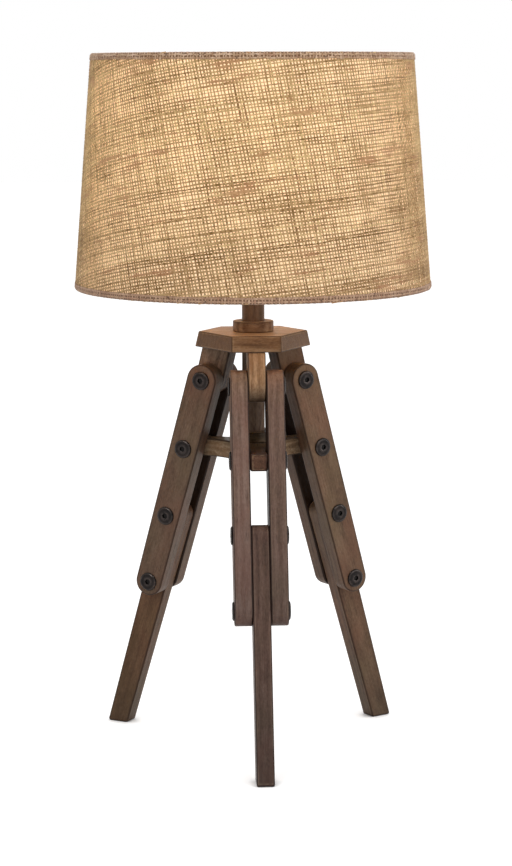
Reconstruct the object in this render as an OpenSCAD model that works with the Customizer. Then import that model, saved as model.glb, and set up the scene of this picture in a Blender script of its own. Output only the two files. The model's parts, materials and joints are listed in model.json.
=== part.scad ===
// Tripod table lamp: three bolted wooden legs, a turned post, a lamp socket with
// a harp, and a round tapered shade that hangs from the top of the harp.
// Millimetres. The floor is z = 0, +Z is up, the front leg points along -Y.

/* [Overall] */
// Height from the floor to the top rim of the shade
lamp_h = 692; // [650:1:830]
// Tilt of each leg from the vertical, in degrees
leg_tilt = 16.4; // [13:0.1:20]
// Tilt of the tongue boards that hold the legs to the cap, in degrees
tongue_tilt = 14.5; // [11:0.1:20]
// Height of the three top bolts above the floor
pivot_z = 369; // [300:1:400]
// Distance of the three top bolts from the centre axis
pivot_r = 45.5; // [44:0.5:56]

/* [Leg boards] */
// Thickness of every board in a leg
board_t = 17.5; // [14:0.5:21]
// Radius of the round top end of a cheek board
cheek_r_top = 16.2; // [13.5:0.1:19]
// Radius of the round bottom end of a cheek board
cheek_r_bottom = 14.6; // [12:0.1:17]
// Distance between neighbouring bolts along a leg
bolt_pitch = 73.2; // [61:0.1:84]
// Radius of the round lower end of a tongue board
tongue_r = 15.4; // [12:0.1:18]
// Half width of a lower leg at its top bolt
leg_top_half = 13.8; // [12:0.1:16]
// How far a lower leg reaches above its top bolt
leg_past_bolt = 9.9; // [8:0.1:14]
// Radius of the two corners at the top of a lower leg
leg_corner_r = 10; // [4:0.5:11.5]
// Outer half width of a lower leg at the floor
leg_out_foot = 12.9; // [10:0.1:15]
// Inner half width of a lower leg at the floor
leg_in_foot = 9.1; // [7:0.1:12]

/* [Leg bolts] */
// Diameter of a bolt shank
bolt_d = 6; // [4:0.5:7]
// Diameter of the sleeve of a cap nut
nut_sleeve_d = 8.6; // [7.5:0.1:10]
// Diameter of the flat domed heads
head_d = 18.4; // [14:0.1:22]
// Height of a head above the wood
head_h = 2.3; // [1.5:0.1:3]
// Hex socket of a head, across its corners
hex_socket = 5.6; // [4:0.1:7]
// Radial clearance of a bolt or nut in its hole
bolt_clear = 0.25; // [0.15:0.05:0.5]

/* [Cap, collars and post] */
// Height of the cap plate's underside above the top bolts
cap_rise = 34; // [28:0.1:40]
// Thickness of the cap plate
cap_t = 15.7; // [12:0.1:20]
// Width of the cap's three short faces at its top
cap_face_w = 48; // [42:0.5:56]
// How far the cap reaches past a tongue board
cap_lip = 0.3; // [0.1:0.1:5]
// Flare of the cap's three long faces, in degrees
cap_long_flare = 8; // [0:0.5:12]
// Diameter of the turned post
post_d = 22.4; // [19:0.1:24]
// Outer diameter of the two collars on the post
collar_d = 40.5; // [34:0.5:46]
// Height of a collar
collar_h = 10.5; // [8:0.5:14]
// Chamfer on the collars' outer edges
collar_chamfer = 0.8; // [0.4:0.1:1.5]
// Gap all round between the post and what it passes through
post_clear = 0.15; // [0.1:0.05:0.3]
// Diameter of a wooden dowel between cap and tongue
dowel_d = 6; // [4:0.5:8]
// Depth of a dowel in each of the two boards
dowel_depth = 10; // [7:0.5:11]

/* [Spreader] */
// Thickness of the Y-shaped spreader plate
spreader_t = 18; // [16:0.5:21]
// Height of the spreader's middle above its bolts
spreader_rise = 0.6; // [0:0.1:1.5]
// How far an arm reaches past its bolt
arm_past_bolt = 15; // [12:0.5:20]
// Radius of the hollow sides between two arms
web_r = 86; // [60:1:88]
// Depth of the post's seat in the spreader
post_seat = 6; // [4:0.5:7]
// Depth of the nut pocket under the spreader
nut_pocket = 7; // [6.5:0.5:8]

/* [Pipe and harp] */
// Outer diameter of the threaded lamp pipe
pipe_d = 10; // [8:0.5:11]
// Bore of the lamp pipe
pipe_bore = 7.2; // [5:0.1:7.5]
// Height of the harp, from saddle to the shade's seat
harp_h = 184; // [170:1:220]
// Diameter of the harp wire
harp_wire_d = 4.8; // [4:0.1:5]
// Distance of each harp leg from the centre axis
harp_leg_x = 30; // [28:0.5:36]
// Radius of the harp's top bow
harp_bow_r = 54; // [48:0.5:60]
// Radius of the outward bend above the harp's straight legs
harp_bend_r = 20; // [14:0.5:26]
// Height of a harp sleeve
sleeve_h = 12; // [10:0.5:15]
// Running clearance of the moving fits, measured on the radius
run_clear = 0.06; // [0.03:0.01:0.09]

/* [Socket and bulb] */
// Radius of the socket's outer shell
socket_r = 17.6; // [17:0.1:19]
// Height of the socket above the saddle
socket_h = 66; // [62:0.5:70]
// Height of the switch axis above the saddle
switch_z = 26; // [24:0.5:28]
// Diameter of the switch spindle
spindle_d = 3.2; // [2.5:0.1:4]
// Diameter of the switch knob
knob_d = 13; // [10:0.5:16]
// Length of the switch knob
knob_len = 15; // [12:0.5:20]
// Radius of the bulb's screw base
base_r = 13; // [12.6:0.1:13.2]
// Radius of the bulb's glass ball
ball_r = 30; // [26:0.5:32]

/* [Shade] */
// Outer diameter of the shade at its top rim
shade_top_d = 317.5; // [264:0.5:340]
// Outer diameter of the shade at its bottom rim
shade_bottom_d = 354.5; // [340:0.5:426]
// Height of the shade
shade_h = 230; // [205:1:276]
// Depth of the shade's seat on the harp below its top rim
hub_drop = 24; // [20:0.5:40]
// Thickness of the woven cover
cover_t = 1.2; // [0.8:0.1:2]
// Thickness of the stiff liner inside the cover
liner_t = 0.5; // [0.4:0.1:1]
// Thickness of the folded trim on both rims
trim_t = 0.6; // [0.4:0.1:1]
// Height of the folded trim
trim_h = 6.5; // [5:0.5:10]
// Diameter of the shade's ring wire
ring_d = 3.6; // [3:0.1:5]
// Diameter of a spider spoke
spoke_d = 3; // [2.5:0.1:4]

/* [Hidden] */
$fn = 64;
BIG = 900;
AZ = [0, -120, 120];

// Legs: bolt i lies bolt_pitch * i down the leg from the top bolt.
bolt_count = 4;
cheek_len = bolt_pitch * (bolt_count - 1);
leg_top_bolt = 2;
leg_len = pivot_z / cos(leg_tilt);
leg_reach = leg_len - bolt_pitch * leg_top_bolt;
leg_flat = leg_top_half - leg_corner_r;
leg_side_y = leg_past_bolt - leg_corner_r;
stack_half = board_t * 1.5;
nut_len = board_t * 0.8;
bolt_gap = 2;
function bolt_r(i) = pivot_r + bolt_pitch * i * sin(leg_tilt);
function bolt_z(i) = pivot_z - bolt_pitch * i * cos(leg_tilt);

// Cap: its short faces lean as the tongues do and clear the tongues' outer edges.
cap_z = pivot_z + cap_rise;
cap_top_z = cap_z + cap_t;
tongue_up = (cap_rise - tongue_r * sin(tongue_tilt)) / cos(tongue_tilt);
tongue_out_r = pivot_r + tongue_r * cos(tongue_tilt) - tongue_up * sin(tongue_tilt);
tongue_in_up = (cap_rise + tongue_r * sin(tongue_tilt)) / cos(tongue_tilt);
tongue_in_r = pivot_r - tongue_r * cos(tongue_tilt) - tongue_in_up * sin(tongue_tilt);
cap_short_r = tongue_out_r + cap_lip - cap_t * tan(tongue_tilt);
cap_long_r = cap_face_w / 2 * cos(30) + cap_short_r * sin(30);
dowel_in_r = tongue_in_r + dowel_d * 1.4;
dowel_out_r = tongue_out_r - dowel_d * 1.4;

// Spreader, post and lamp pipe.
post_r = post_d / 2;
spreader_mid_z = bolt_z(1) + spreader_rise;
spreader_z = spreader_mid_z - spreader_t / 2;
spreader_top_z = spreader_mid_z + spreader_t / 2;
arm_end_r = bolt_r(1) + arm_past_bolt;
arm_half = board_t / 2 - 0.25;
web_far = (arm_half + web_r) / sin(60);
post_z = spreader_top_z - post_seat;
pipe_r = pipe_d / 2;
pipe_clear = 0.3;
washer_t = 1.5;
nut_t = 4;
nut_across = 16;
bushing_lip = 1.2;
bushing_in = 2.5;
pipe_z = spreader_z + bushing_lip + 0.3;

// Harp and saddle.
saddle_t = 1.6;
saddle_w = 14;
check_t = 2.5;
seat_t = 1.6;
hub_t = 2;
hub_z = lamp_h - hub_drop;
saddle_top_z = hub_z - harp_h;
post_top_z = saddle_top_z - saddle_t - check_t;
wire_r = harp_wire_d / 2;
eye_h = harp_wire_d + 0.5;
eye_r = 6.5;
weld_bead = 0.1;
bow_top_z = hub_z - seat_t - eye_h / 2;
bow_z = bow_top_z - harp_bow_r;
harp_lean = 30;
flare_x = harp_bow_r * cos(harp_lean);
flare_z = bow_z - harp_bow_r * sin(harp_lean);
bend_x = harp_leg_x + harp_bend_r * (1 - cos(harp_lean));
flare_len = (flare_x - bend_x) / sin(harp_lean);
bend_z = flare_z - flare_len * cos(harp_lean) - harp_bend_r * sin(harp_lean);
tab_t = 1.6;
tab_w = 3.6;
tab_h = sleeve_h - 1;
sleeve_wall = 1.4;
stud_r = 3;
stud_len = 14;
rivet_r = 2;

// Socket and bulb, measured up from the saddle.
shell_wall = 0.7;
insulator_wall = 0.6;
cap_cup_h = 18;
shell_low = 12;
body_low = 14;
pipe_above = 8;
body_high = 36;
body_r = socket_r - shell_wall - insulator_wall - 0.7;
screw_wall = 0.6;
screw_r = base_r + 0.25;
base_low = body_high + 3.4;
base_h = 24;
tip_h = 1.4;
neck_h = 8;
neck_r = base_r + 0.6;
ball_low_angle = 30;
ball_steps = 30;
glass_t = 0.9;
ball_drop = (ball_r * cos(ball_low_angle) - neck_r) / sin(ball_low_angle);
ball_rise = ball_r * sin(ball_low_angle) + ball_drop * cos(ball_low_angle);
ball_z = base_low + base_h + neck_h + ball_rise;
spindle_r = spindle_d / 2;
spindle_in = 5;
knob_gap = 3;
knob_y = socket_r + knob_gap;

// Shade: z runs up from the bottom rim.
shade_z = lamp_h - shade_h;
shade_slope = (shade_bottom_d - shade_top_d) / 2 / shade_h;
film = 0.1;
function shade_r(z) = shade_bottom_d / 2 - shade_slope * (z - shade_z);
ring_r = ring_d / 2;
spoke_r = spoke_d / 2;
hub_r = 11;
cover_in = trim_t + film;
skin_t = cover_in + cover_t + film + liner_t;
ring_high_z = lamp_h - trim_t - ring_r - 0.8;
ring_low_z = shade_z + trim_t + ring_r + 0.8;
function ring_at(z) = shade_r(z) - skin_t - trim_t - 3 * film - ring_r * sqrt(1 + pow(shade_slope, 2));
spoke_bend_z = ring_high_z - 9;

// ---------- shared shapes ----------

// Leg frame: x is outward across the leg, y is up the leg, z is across the boards.
module leg_place(az, tilt = leg_tilt)
    rotate([0, 0, az])
        translate([0, -pivot_r, pivot_z])
            rotate([-tilt, 0, 0])
                rotate([90, 0, -90])
                    children();

// A bar with round ends of two radii, and straight sides that touch both.
module tapered_bar(r1, r2, len) {
    turn = asin((r1 - r2) / len);
    union() {
        circle(r1);
        translate([0, -len]) circle(r2);
        polygon([
            [r1 * cos(turn), -r1 * sin(turn)],
            [-r1 * cos(turn), -r1 * sin(turn)],
            [-r2 * cos(turn), -len - r2 * sin(turn)],
            [r2 * cos(turn), -len - r2 * sin(turn)]
        ]);
    }
}

module board(z_mid) translate([0, 0, z_mid - board_t / 2]) linear_extrude(board_t) children();

module bolt_holes(first, last, r)
    for (i = [first:last])
        translate([0, -bolt_pitch * i, 0]) cylinder(h = 4 * board_t, r = r, center = true);

module above(z) translate([-BIG / 2, -BIG / 2, z]) cube([BIG, BIG, BIG]);
module below(z) translate([-BIG / 2, -BIG / 2, z - BIG]) cube([BIG, BIG, BIG]);

// A round rod from one point to another.
module rod(from, to, r) {
    d = to - from;
    translate(from)
        rotate([0, acos(d[2] / norm(d)), atan2(d[1], d[0])])
            cylinder(h = norm(d), r = r);
}

module tube(z, h, r_out, r_in)
    translate([0, 0, z])
        difference() {
            cylinder(h = h, r = r_out);
            translate([0, 0, -1]) cylinder(h = h + 2, r = r_in);
        }

// ---------- legs ----------

module tongue(az)
    color("peru")
        difference() {
            leg_place(az, tongue_tilt)
                difference() {
                    board(0) {
                        circle(tongue_r);
                        translate([-tongue_r, 0]) square([2 * tongue_r, 3 * cap_rise]);
                    }
                    bolt_holes(0, 0, bolt_d / 2 + bolt_clear);
                }
            above(cap_z);
            dowels(az, film);
        }

// side is 1 for the board with the cap nuts and -1 for the board with the bolts.
module cheek(az, side)
    color("saddlebrown")
        leg_place(az)
            difference() {
                board(-side * board_t) tapered_bar(cheek_r_top, cheek_r_bottom, cheek_len);
                bolt_holes(0, bolt_count - 1, (side > 0 ? nut_sleeve_d : bolt_d) / 2 + bolt_clear);
            }

module lower_leg(az)
    color("sienna")
        difference() {
            leg_place(az)
                translate([0, -bolt_pitch * leg_top_bolt, 0])
                    difference() {
                        board(0) {
                            translate([-leg_flat, -board_t]) square([2 * leg_flat, board_t + leg_past_bolt]);
                            for (x = [-leg_flat, leg_flat]) translate([x, leg_side_y]) circle(leg_corner_r);
                            polygon([
                                [leg_top_half, leg_side_y],
                                [-leg_top_half, leg_side_y],
                                [-leg_in_foot, -leg_reach],
                                [-leg_in_foot, -leg_reach - board_t],
                                [leg_out_foot, -leg_reach - board_t],
                                [leg_out_foot, -leg_reach]
                            ]);
                        }
                        bolt_holes(0, 1, bolt_d / 2 + bolt_clear);
                    }
            below(0);
        }

module head()
    difference() {
        rotate_extrude()
            polygon([
                [0, 0], [head_d / 2, 0], [head_d / 2, head_h * 0.45],
                [head_d / 2 - head_h * 0.35, head_h * 0.85],
                [head_d / 2 - head_h * 0.9, head_h], [0, head_h]
            ]);
        translate([0, 0, head_h * 0.3]) cylinder(h = head_h, d = hex_socket, $fn = 6);
    }

module leg_bolts(az)
    color("dimgray")
        leg_place(az)
            for (i = [0:bolt_count - 1])
                translate([0, -bolt_pitch * i, stack_half]) {
                    head();
                    shank = 2 * stack_half - bolt_gap;
                    translate([0, 0, -shank]) cylinder(h = shank, d = bolt_d);
                }

module leg_nuts(az)
    color("dimgray")
        leg_place(az)
            for (i = [0:bolt_count - 1])
                translate([0, -bolt_pitch * i, -stack_half])
                    rotate([180, 0, 0])
                        difference() {
                            union() {
                                head();
                                translate([0, 0, -nut_len]) cylinder(h = nut_len, d = nut_sleeve_d);
                            }
                            translate([0, 0, -nut_len - 1])
                                cylinder(h = nut_len + 1, d = bolt_d + 2 * film);
                        }

// ---------- cap, collars, post, spreader ----------

module dowels(az, extra)
    rotate([0, 0, az])
        for (r = [dowel_in_r, dowel_out_r])
            translate([0, -r, cap_z - dowel_depth - extra])
                cylinder(h = 2 * (dowel_depth + extra), r = dowel_d / 2 + extra);

module cap_dowels()
    color("burlywood")
        for (az = AZ) dowels(az, 0);

// Cuts the half space beyond a face at distance r, which leans out by lean degrees downwards.
module beyond(r, lean)
    translate([0, -r, cap_top_z])
        rotate([-lean, 0, 0])
            translate([-BIG / 2, -BIG, -BIG / 2]) cube([BIG, BIG, BIG]);

module cap_plate()
    color("peru")
        difference() {
            translate([-BIG / 8, -BIG / 8, cap_z]) cube([BIG / 4, BIG / 4, cap_t]);
            for (az = AZ) {
                rotate([0, 0, az]) beyond(cap_short_r, tongue_tilt);
                rotate([0, 0, az + 60]) beyond(cap_long_r, cap_long_flare);
                dowels(az, film);
            }
            translate([0, 0, cap_z - 1]) cylinder(h = cap_t + 2, r = post_r + post_clear);
        }

module collar(z)
    color("sienna")
        translate([0, 0, z])
            difference() {
                rotate_extrude()
                    polygon([
                        [0, 0], [collar_d / 2 - collar_chamfer, 0],
                        [collar_d / 2, collar_chamfer], [collar_d / 2, collar_h - collar_chamfer],
                        [collar_d / 2 - collar_chamfer, collar_h], [0, collar_h]
                    ]);
                translate([0, 0, -1]) cylinder(h = collar_h + 2, r = post_r + post_clear);
            }

module post()
    color("saddlebrown")
        tube(post_z, post_top_z - post_z, post_r, pipe_r + pipe_clear);

module spreader_outline()
    difference() {
        union() {
            for (az = AZ)
                rotate(az) translate([-arm_half, -arm_end_r]) square([2 * arm_half, arm_end_r]);
            polygon([for (az = [0, 120, 240]) [sin(az), -cos(az)] * web_far * cos(60)]);
        }
        for (az = [60, 180, 300]) rotate(az) translate([0, -web_far]) circle(web_r, $fn = 128);
    }

module spreader()
    color("saddlebrown")
        difference() {
            translate([0, 0, spreader_z]) linear_extrude(spreader_t) spreader_outline();
            translate([0, 0, post_z]) cylinder(h = spreader_t, r = post_r + post_clear);
            translate([0, 0, spreader_z - 1]) cylinder(h = spreader_t, r = pipe_r + pipe_clear);
            translate([0, 0, spreader_z - 1]) cylinder(h = nut_pocket + 1, r = nut_across / 2 + 3);
            for (az = AZ) leg_place(az) bolt_holes(1, 1, bolt_d / 2 + bolt_clear);
        }

module lamp_pipe()
    color("silver")
        tube(pipe_z, saddle_top_z + pipe_above - pipe_z, pipe_r, pipe_bore / 2);

module pipe_washer()
    color("silver")
        tube(spreader_z + nut_pocket - washer_t, washer_t, nut_across / 2 + 1.5, pipe_r + film);

module pipe_nut()
    color("silver")
        translate([0, 0, spreader_z + nut_pocket - washer_t - nut_t])
            difference() {
                cylinder(h = nut_t, d = nut_across, $fn = 6);
                translate([0, 0, -1]) cylinder(h = nut_t + 2, r = pipe_r + film);
            }

module cord_bushing()
    color("black")
        difference() {
            union() {
                translate([0, 0, pipe_z - bushing_lip]) cylinder(h = bushing_lip, r = pipe_r);
                translate([0, 0, pipe_z]) cylinder(h = bushing_in, r = pipe_bore / 2 - film);
            }
            translate([0, 0, pipe_z - 2 * bushing_lip])
                cylinder(h = 2 * nut_t, r = pipe_bore / 2 - 1);
        }

module check_ring() color("goldenrod") tube(post_top_z, check_t, post_r + 2, pipe_r + film);

// ---------- harp ----------

module harp_saddle()
    color("goldenrod")
        difference() {
            union() {
                translate([-harp_leg_x, -saddle_w / 2, saddle_top_z - saddle_t])
                    cube([2 * harp_leg_x, saddle_w, saddle_t]);
                for (x = [-harp_leg_x, harp_leg_x]) {
                    translate([x, 0, saddle_top_z - saddle_t]) cylinder(h = saddle_t, d = saddle_w);
                    translate([x - tab_t / 2, -tab_w / 2, saddle_top_z - saddle_t])
                        cube([tab_t, tab_w, saddle_t + tab_h]);
                }
            }
            translate([0, 0, saddle_top_z - 2 * saddle_t])
                cylinder(h = 3 * saddle_t, r = pipe_r + film);
        }

module harp_half() {
    bend_end = [bend_x, 0, bend_z + harp_bend_r * sin(harp_lean)];
    flare_end = [flare_x, 0, flare_z];
    union() {
        translate([harp_leg_x, 0, saddle_top_z]) cylinder(h = bend_z - saddle_top_z, r = wire_r);
        translate([harp_leg_x + harp_bend_r, 0, bend_z])
            rotate([90, 0, 180])
                rotate_extrude(angle = harp_lean)
                    translate([harp_bend_r, 0]) circle(wire_r);
        rod(bend_end, flare_end, wire_r);
        for (weld = [[harp_leg_x, 0, bend_z], bend_end, flare_end])
            translate(weld) sphere(r = wire_r + weld_bead);
        translate([0, 0, bow_z])
            rotate([90, 0, 0])
                rotate([0, 0, -harp_lean])
                    rotate_extrude(angle = 90 + harp_lean)
                        translate([harp_bow_r, 0]) circle(wire_r);
    }
}

module harp()
    color("goldenrod")
        difference() {
            union() {
                harp_half();
                mirror([1, 0, 0]) harp_half();
                translate([0, 0, bow_top_z - eye_h / 2]) cylinder(h = eye_h, r = eye_r);
            }
            translate([0, 0, bow_top_z - eye_h]) cylinder(h = 2 * eye_h, r = rivet_r + film);
            for (x = [-harp_leg_x, harp_leg_x])
                translate([x - tab_t / 2 - film, -wire_r - 1, saddle_top_z - 1])
                    cube([tab_t + 2 * film, 2 * wire_r + 2, tab_h + 1 + film]);
        }

module harp_stud()
    color("goldenrod")
        union() {
            translate([0, 0, bow_top_z - eye_h / 2 - 1]) cylinder(h = 1, r = rivet_r + 1.5);
            translate([0, 0, bow_top_z - eye_h / 2 - 0.5]) cylinder(h = eye_h + 1, r = rivet_r);
            translate([0, 0, hub_z - seat_t]) cylinder(h = seat_t, r = eye_r + 1);
            translate([0, 0, hub_z]) cylinder(h = stud_len, r = stud_r);
        }

module harp_sleeve(x)
    color("gold")
        translate([x, 0, 0])
            tube(saddle_top_z, sleeve_h, wire_r + run_clear + sleeve_wall, wire_r + run_clear);

module finial()
    color("goldenrod")
        translate([0, 0, hub_z + hub_t])
            difference() {
                union() {
                    cylinder(h = 2.5, r = 6.5);
                    translate([0, 0, 2.5]) cylinder(h = 3, r = 4.2);
                    translate([0, 0, 11]) sphere(r = 7);
                    translate([0, 0, 17]) cylinder(h = 2.4, r = 2.6);
                }
                translate([0, 0, -1]) cylinder(h = stud_len + 0.5, r = stud_r + run_clear);
            }

// ---------- socket and bulb ----------

module at_saddle() translate([0, 0, saddle_top_z]) children();

module socket_cap()
    color("goldenrod")
        at_saddle()
            rotate_extrude()
                polygon([
                    [pipe_r + film, 0], [9, 0], [9, 3], [socket_r - 1, cap_cup_h - 9],
                    [socket_r + 1, cap_cup_h - 5], [socket_r + 1, cap_cup_h],
                    [socket_r + film, cap_cup_h], [socket_r + film, cap_cup_h - 6],
                    [8, 5], [8, pipe_above], [pipe_r + film, pipe_above]
                ]);

module cap_insulator()
    color("wheat")
        at_saddle() tube(shell_low - 1.2, 1.1, socket_r - 1.8, pipe_r + 4);

module socket_shell()
    color("gold")
        at_saddle()
            difference() {
                tube(shell_low, socket_h - shell_low, socket_r, socket_r - shell_wall);
                spindle_hole(spindle_r + 2.4);
            }

module spindle_hole(r)
    translate([0, 0, switch_z]) rotate([90, 0, 0]) cylinder(h = 2 * socket_r, r = r);

module shell_insulator()
    color("wheat")
        at_saddle()
            difference() {
                tube(shell_low + 0.1, socket_h - shell_low - 1.5,
                     socket_r - shell_wall - film, socket_r - shell_wall - insulator_wall);
                spindle_hole(spindle_r + 1.8);
            }

module terminals(extra)
    for (side = [-1, 1])
        translate([side * (body_r - 2.2), 0, body_low + 5])
            rotate([0, 90 * side, 0])
                cylinder(h = 2 + extra, r = 2.4 + extra);

module socket_body()
    color("ivory")
        at_saddle()
            difference() {
                translate([0, 0, body_low]) cylinder(h = body_high - body_low, r = body_r);
                spindle_hole(spindle_r + run_clear);
                terminals(film);
            }

module screw_shell()
    color("gold")
        at_saddle()
            tube(body_high, base_low + base_h - body_high - 2, screw_r + screw_wall, screw_r);

module center_contact()
    color("gold")
        at_saddle()
            union() {
                translate([0, 0, body_high]) cylinder(h = 1, r = 5);
                translate([0, 0, body_high + 1]) cylinder(h = base_low - tip_h - body_high - 1, r = 2.5);
            }

module terminal_screws() color("silver") at_saddle() terminals(0);

module switch_spindle()
    color("goldenrod")
        at_saddle()
            translate([0, -spindle_in, switch_z])
                rotate([90, 0, 0])
                    cylinder(h = knob_y + knob_len / 2 - spindle_in, r = spindle_r);

module switch_knob()
    color("black")
        at_saddle()
            translate([0, -knob_y, switch_z])
                rotate([90, 0, 0])
                    difference() {
                        union() {
                            cylinder(h = knob_len - 1.5, d = knob_d);
                            translate([0, 0, knob_len - 1.5]) cylinder(h = 1.5, d1 = knob_d, d2 = knob_d - 3);
                        }
                        translate([0, 0, -1]) cylinder(h = knob_len / 2 + 1, r = spindle_r);
                        for (i = [0:11])
                            rotate(i * 30)
                                translate([knob_d / 2 + 0.7, 0, -1]) cylinder(h = knob_len + 2, r = 1.2);
                    }

// Half outline of the bulb inset by t: the neck, then the ball up to its crown.
function bulb_outline(t) = concat(
    [[neck_r - t, 0], [neck_r - t, neck_h]],
    [for (i = [0:ball_steps]) let (a = -ball_low_angle + (90 + ball_low_angle) * i / ball_steps)
        [(ball_r - t) * cos(a), ball_z - base_low - base_h + (ball_r - t) * sin(a)]]
);

function reversed(list) = [for (i = [len(list) - 1:-1:0]) list[i]];

module bulb_glass()
    color("lightyellow")
        at_saddle()
            translate([0, 0, base_low + base_h])
                rotate_extrude()
                    polygon(concat(bulb_outline(0), reversed(bulb_outline(glass_t))));

module bulb_base() {
    ridges = 5;
    low = 4;
    step = (base_h - low - 2) / ridges;
    color("silver")
        at_saddle()
            translate([0, 0, base_low])
                rotate_extrude()
                    polygon(concat(
                        [[0, 0], [6, 0], [base_r - 1, low]],
                        [for (i = [0:ridges - 1]) each [
                            [base_r - 0.8, low + i * step],
                            [base_r, low + (i + 0.5) * step]
                        ]],
                        [[base_r - 0.8, base_h - 2], [base_r - 0.8, base_h], [0, base_h]]
                    ));
}

module bulb_tip()
    color("gray")
        at_saddle() translate([0, 0, base_low - tip_h]) cylinder(h = tip_h, r = 4);

// ---------- shade ----------

module wire_ring(z)
    translate([0, 0, z]) rotate_extrude($fn = 128) translate([ring_at(z), 0]) circle(ring_r);

module shade_spider()
    color("goldenrod")
        difference() {
            union() {
                wire_ring(ring_high_z);
                translate([0, 0, hub_z]) cylinder(h = hub_t, r = hub_r);
                for (a = [90, 210, 330]) {
                    out = [cos(a), sin(a), 0];
                    knee = out * ring_at(ring_high_z) + [0, 0, spoke_bend_z];
                    rod(out * ring_at(ring_high_z) + [0, 0, ring_high_z], knee, spoke_r);
                    translate(knee) sphere(r = spoke_r + weld_bead);
                    rod(knee, out * (hub_r - 2) + [0, 0, hub_z + hub_t / 2], spoke_r);
                }
            }
            translate([0, 0, hub_z - 3]) cylinder(h = 8, r = stud_r + run_clear);
            translate([0, 0, hub_z - 3]) cylinder(h = 3, r = hub_r + 3);
            translate([0, 0, hub_z + hub_t]) cylinder(h = 3, r = 7);
        }

module shade_bottom_ring() color("goldenrod") wire_ring(ring_low_z);

// A tapered skin between two heights whose outside lies inset inside the shade's outline.
module shade_skin(z0, z1, inset, t)
    rotate_extrude($fn = 128)
        polygon([
            [shade_r(z0) - inset, z0], [shade_r(z1) - inset, z1],
            [shade_r(z1) - inset - t, z1], [shade_r(z0) - inset - t, z0]
        ]);

module shade_cover()
    color("tan") shade_skin(shade_z + cover_in, lamp_h - cover_in, cover_in, cover_t);

module shade_liner()
    color("ivory")
        shade_skin(shade_z + cover_in, lamp_h - cover_in, cover_in + cover_t + film, liner_t);

// Folded fabric: an outer leg, the fold over the rim, and an inner leg.
module folded_trim(rim_z, inner_z) {
    tip_z = rim_z > inner_z ? rim_z - trim_t : rim_z + trim_t;
    union() {
        shade_skin(min(rim_z, inner_z), max(rim_z, inner_z), 0, trim_t);
        shade_skin(min(rim_z, tip_z), max(rim_z, tip_z), 0, skin_t + trim_t + film);
        shade_skin(min(rim_z, inner_z), max(rim_z, inner_z), skin_t + film, trim_t);
    }
}

module shade_top_trim() color("rosybrown") folded_trim(lamp_h, lamp_h - trim_h);
module shade_bottom_trim() color("rosybrown") folded_trim(shade_z, shade_z + trim_h);

// ---------- drawing ----------

cap_plate();
cap_dowels();
collar(cap_top_z);  // top_collar
collar(spreader_top_z);  // lower_collar
post();
spreader();
tongue(AZ[0]);  // tongue_front
tongue(AZ[1]);  // tongue_left
tongue(AZ[2]);  // tongue_right
cheek(AZ[0], -1);  // cheek_front_left
cheek(AZ[0], 1);  // cheek_front_right
cheek(AZ[1], 1);  // cheek_left_near
cheek(AZ[1], -1);  // cheek_left_far
cheek(AZ[2], -1);  // cheek_right_near
cheek(AZ[2], 1);  // cheek_right_far
lower_leg(AZ[0]);  // lower_leg_front
lower_leg(AZ[1]);  // lower_leg_left
lower_leg(AZ[2]);  // lower_leg_right
leg_bolts(AZ[0]);  // bolts_front
leg_bolts(AZ[1]);  // bolts_left
leg_bolts(AZ[2]);  // bolts_right
leg_nuts(AZ[0]);  // cap_nuts_front
leg_nuts(AZ[1]);  // cap_nuts_left
leg_nuts(AZ[2]);  // cap_nuts_right
lamp_pipe();
pipe_washer();
pipe_nut();
cord_bushing();
check_ring();
harp_saddle();
harp();
harp_stud();
harp_sleeve(-harp_leg_x);  // harp_sleeve_left
harp_sleeve(harp_leg_x);  // harp_sleeve_right
finial();
socket_cap();
cap_insulator();
socket_shell();
shell_insulator();
socket_body();
screw_shell();
center_contact();
terminal_screws();
switch_spindle();
switch_knob();
bulb_glass();
bulb_base();
bulb_tip();
shade_spider();
shade_bottom_ring();
shade_liner();
shade_cover();
shade_top_trim();
shade_bottom_trim();
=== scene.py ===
import json
from math import acos, asin, atan, atan2, ceil, cos, degrees, floor, hypot, pi, radians, sin, sqrt, tan

import bmesh
import bpy
import numpy as np
from mathutils import Matrix, Vector


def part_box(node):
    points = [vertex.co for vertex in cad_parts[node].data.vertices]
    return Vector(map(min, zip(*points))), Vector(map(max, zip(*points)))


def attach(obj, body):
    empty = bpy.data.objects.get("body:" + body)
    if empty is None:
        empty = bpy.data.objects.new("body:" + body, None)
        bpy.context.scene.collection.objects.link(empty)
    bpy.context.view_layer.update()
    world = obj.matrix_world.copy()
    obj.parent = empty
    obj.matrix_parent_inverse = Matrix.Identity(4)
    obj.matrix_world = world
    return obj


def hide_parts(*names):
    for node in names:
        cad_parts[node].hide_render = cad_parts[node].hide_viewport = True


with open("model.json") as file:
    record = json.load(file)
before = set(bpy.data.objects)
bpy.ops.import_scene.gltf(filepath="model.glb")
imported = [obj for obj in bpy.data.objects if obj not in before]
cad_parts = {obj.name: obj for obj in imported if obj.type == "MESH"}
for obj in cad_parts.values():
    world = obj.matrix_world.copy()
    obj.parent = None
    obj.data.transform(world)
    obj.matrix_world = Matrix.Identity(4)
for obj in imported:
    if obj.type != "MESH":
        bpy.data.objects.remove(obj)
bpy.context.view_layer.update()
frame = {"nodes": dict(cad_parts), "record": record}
slot_of = {part["node"]: part["material_slot"] for part in frame["record"]["subparts"]}
MM = 0.001
FULL = 2 * pi

# ---------- camera ----------

# fitted to the bolts, feet and shade: place in m and turns in degrees
CAMERA_PLACE = (-0.1474, -2.2623, 0.6727)
CAMERA_TURN, CAMERA_FALL, CAMERA_ROLL = -3.79, 8.95, -0.17


def add_object(name, data):
    made = bpy.data.objects.new(name, data)
    bpy.context.scene.collection.objects.link(made)
    return made


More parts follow.
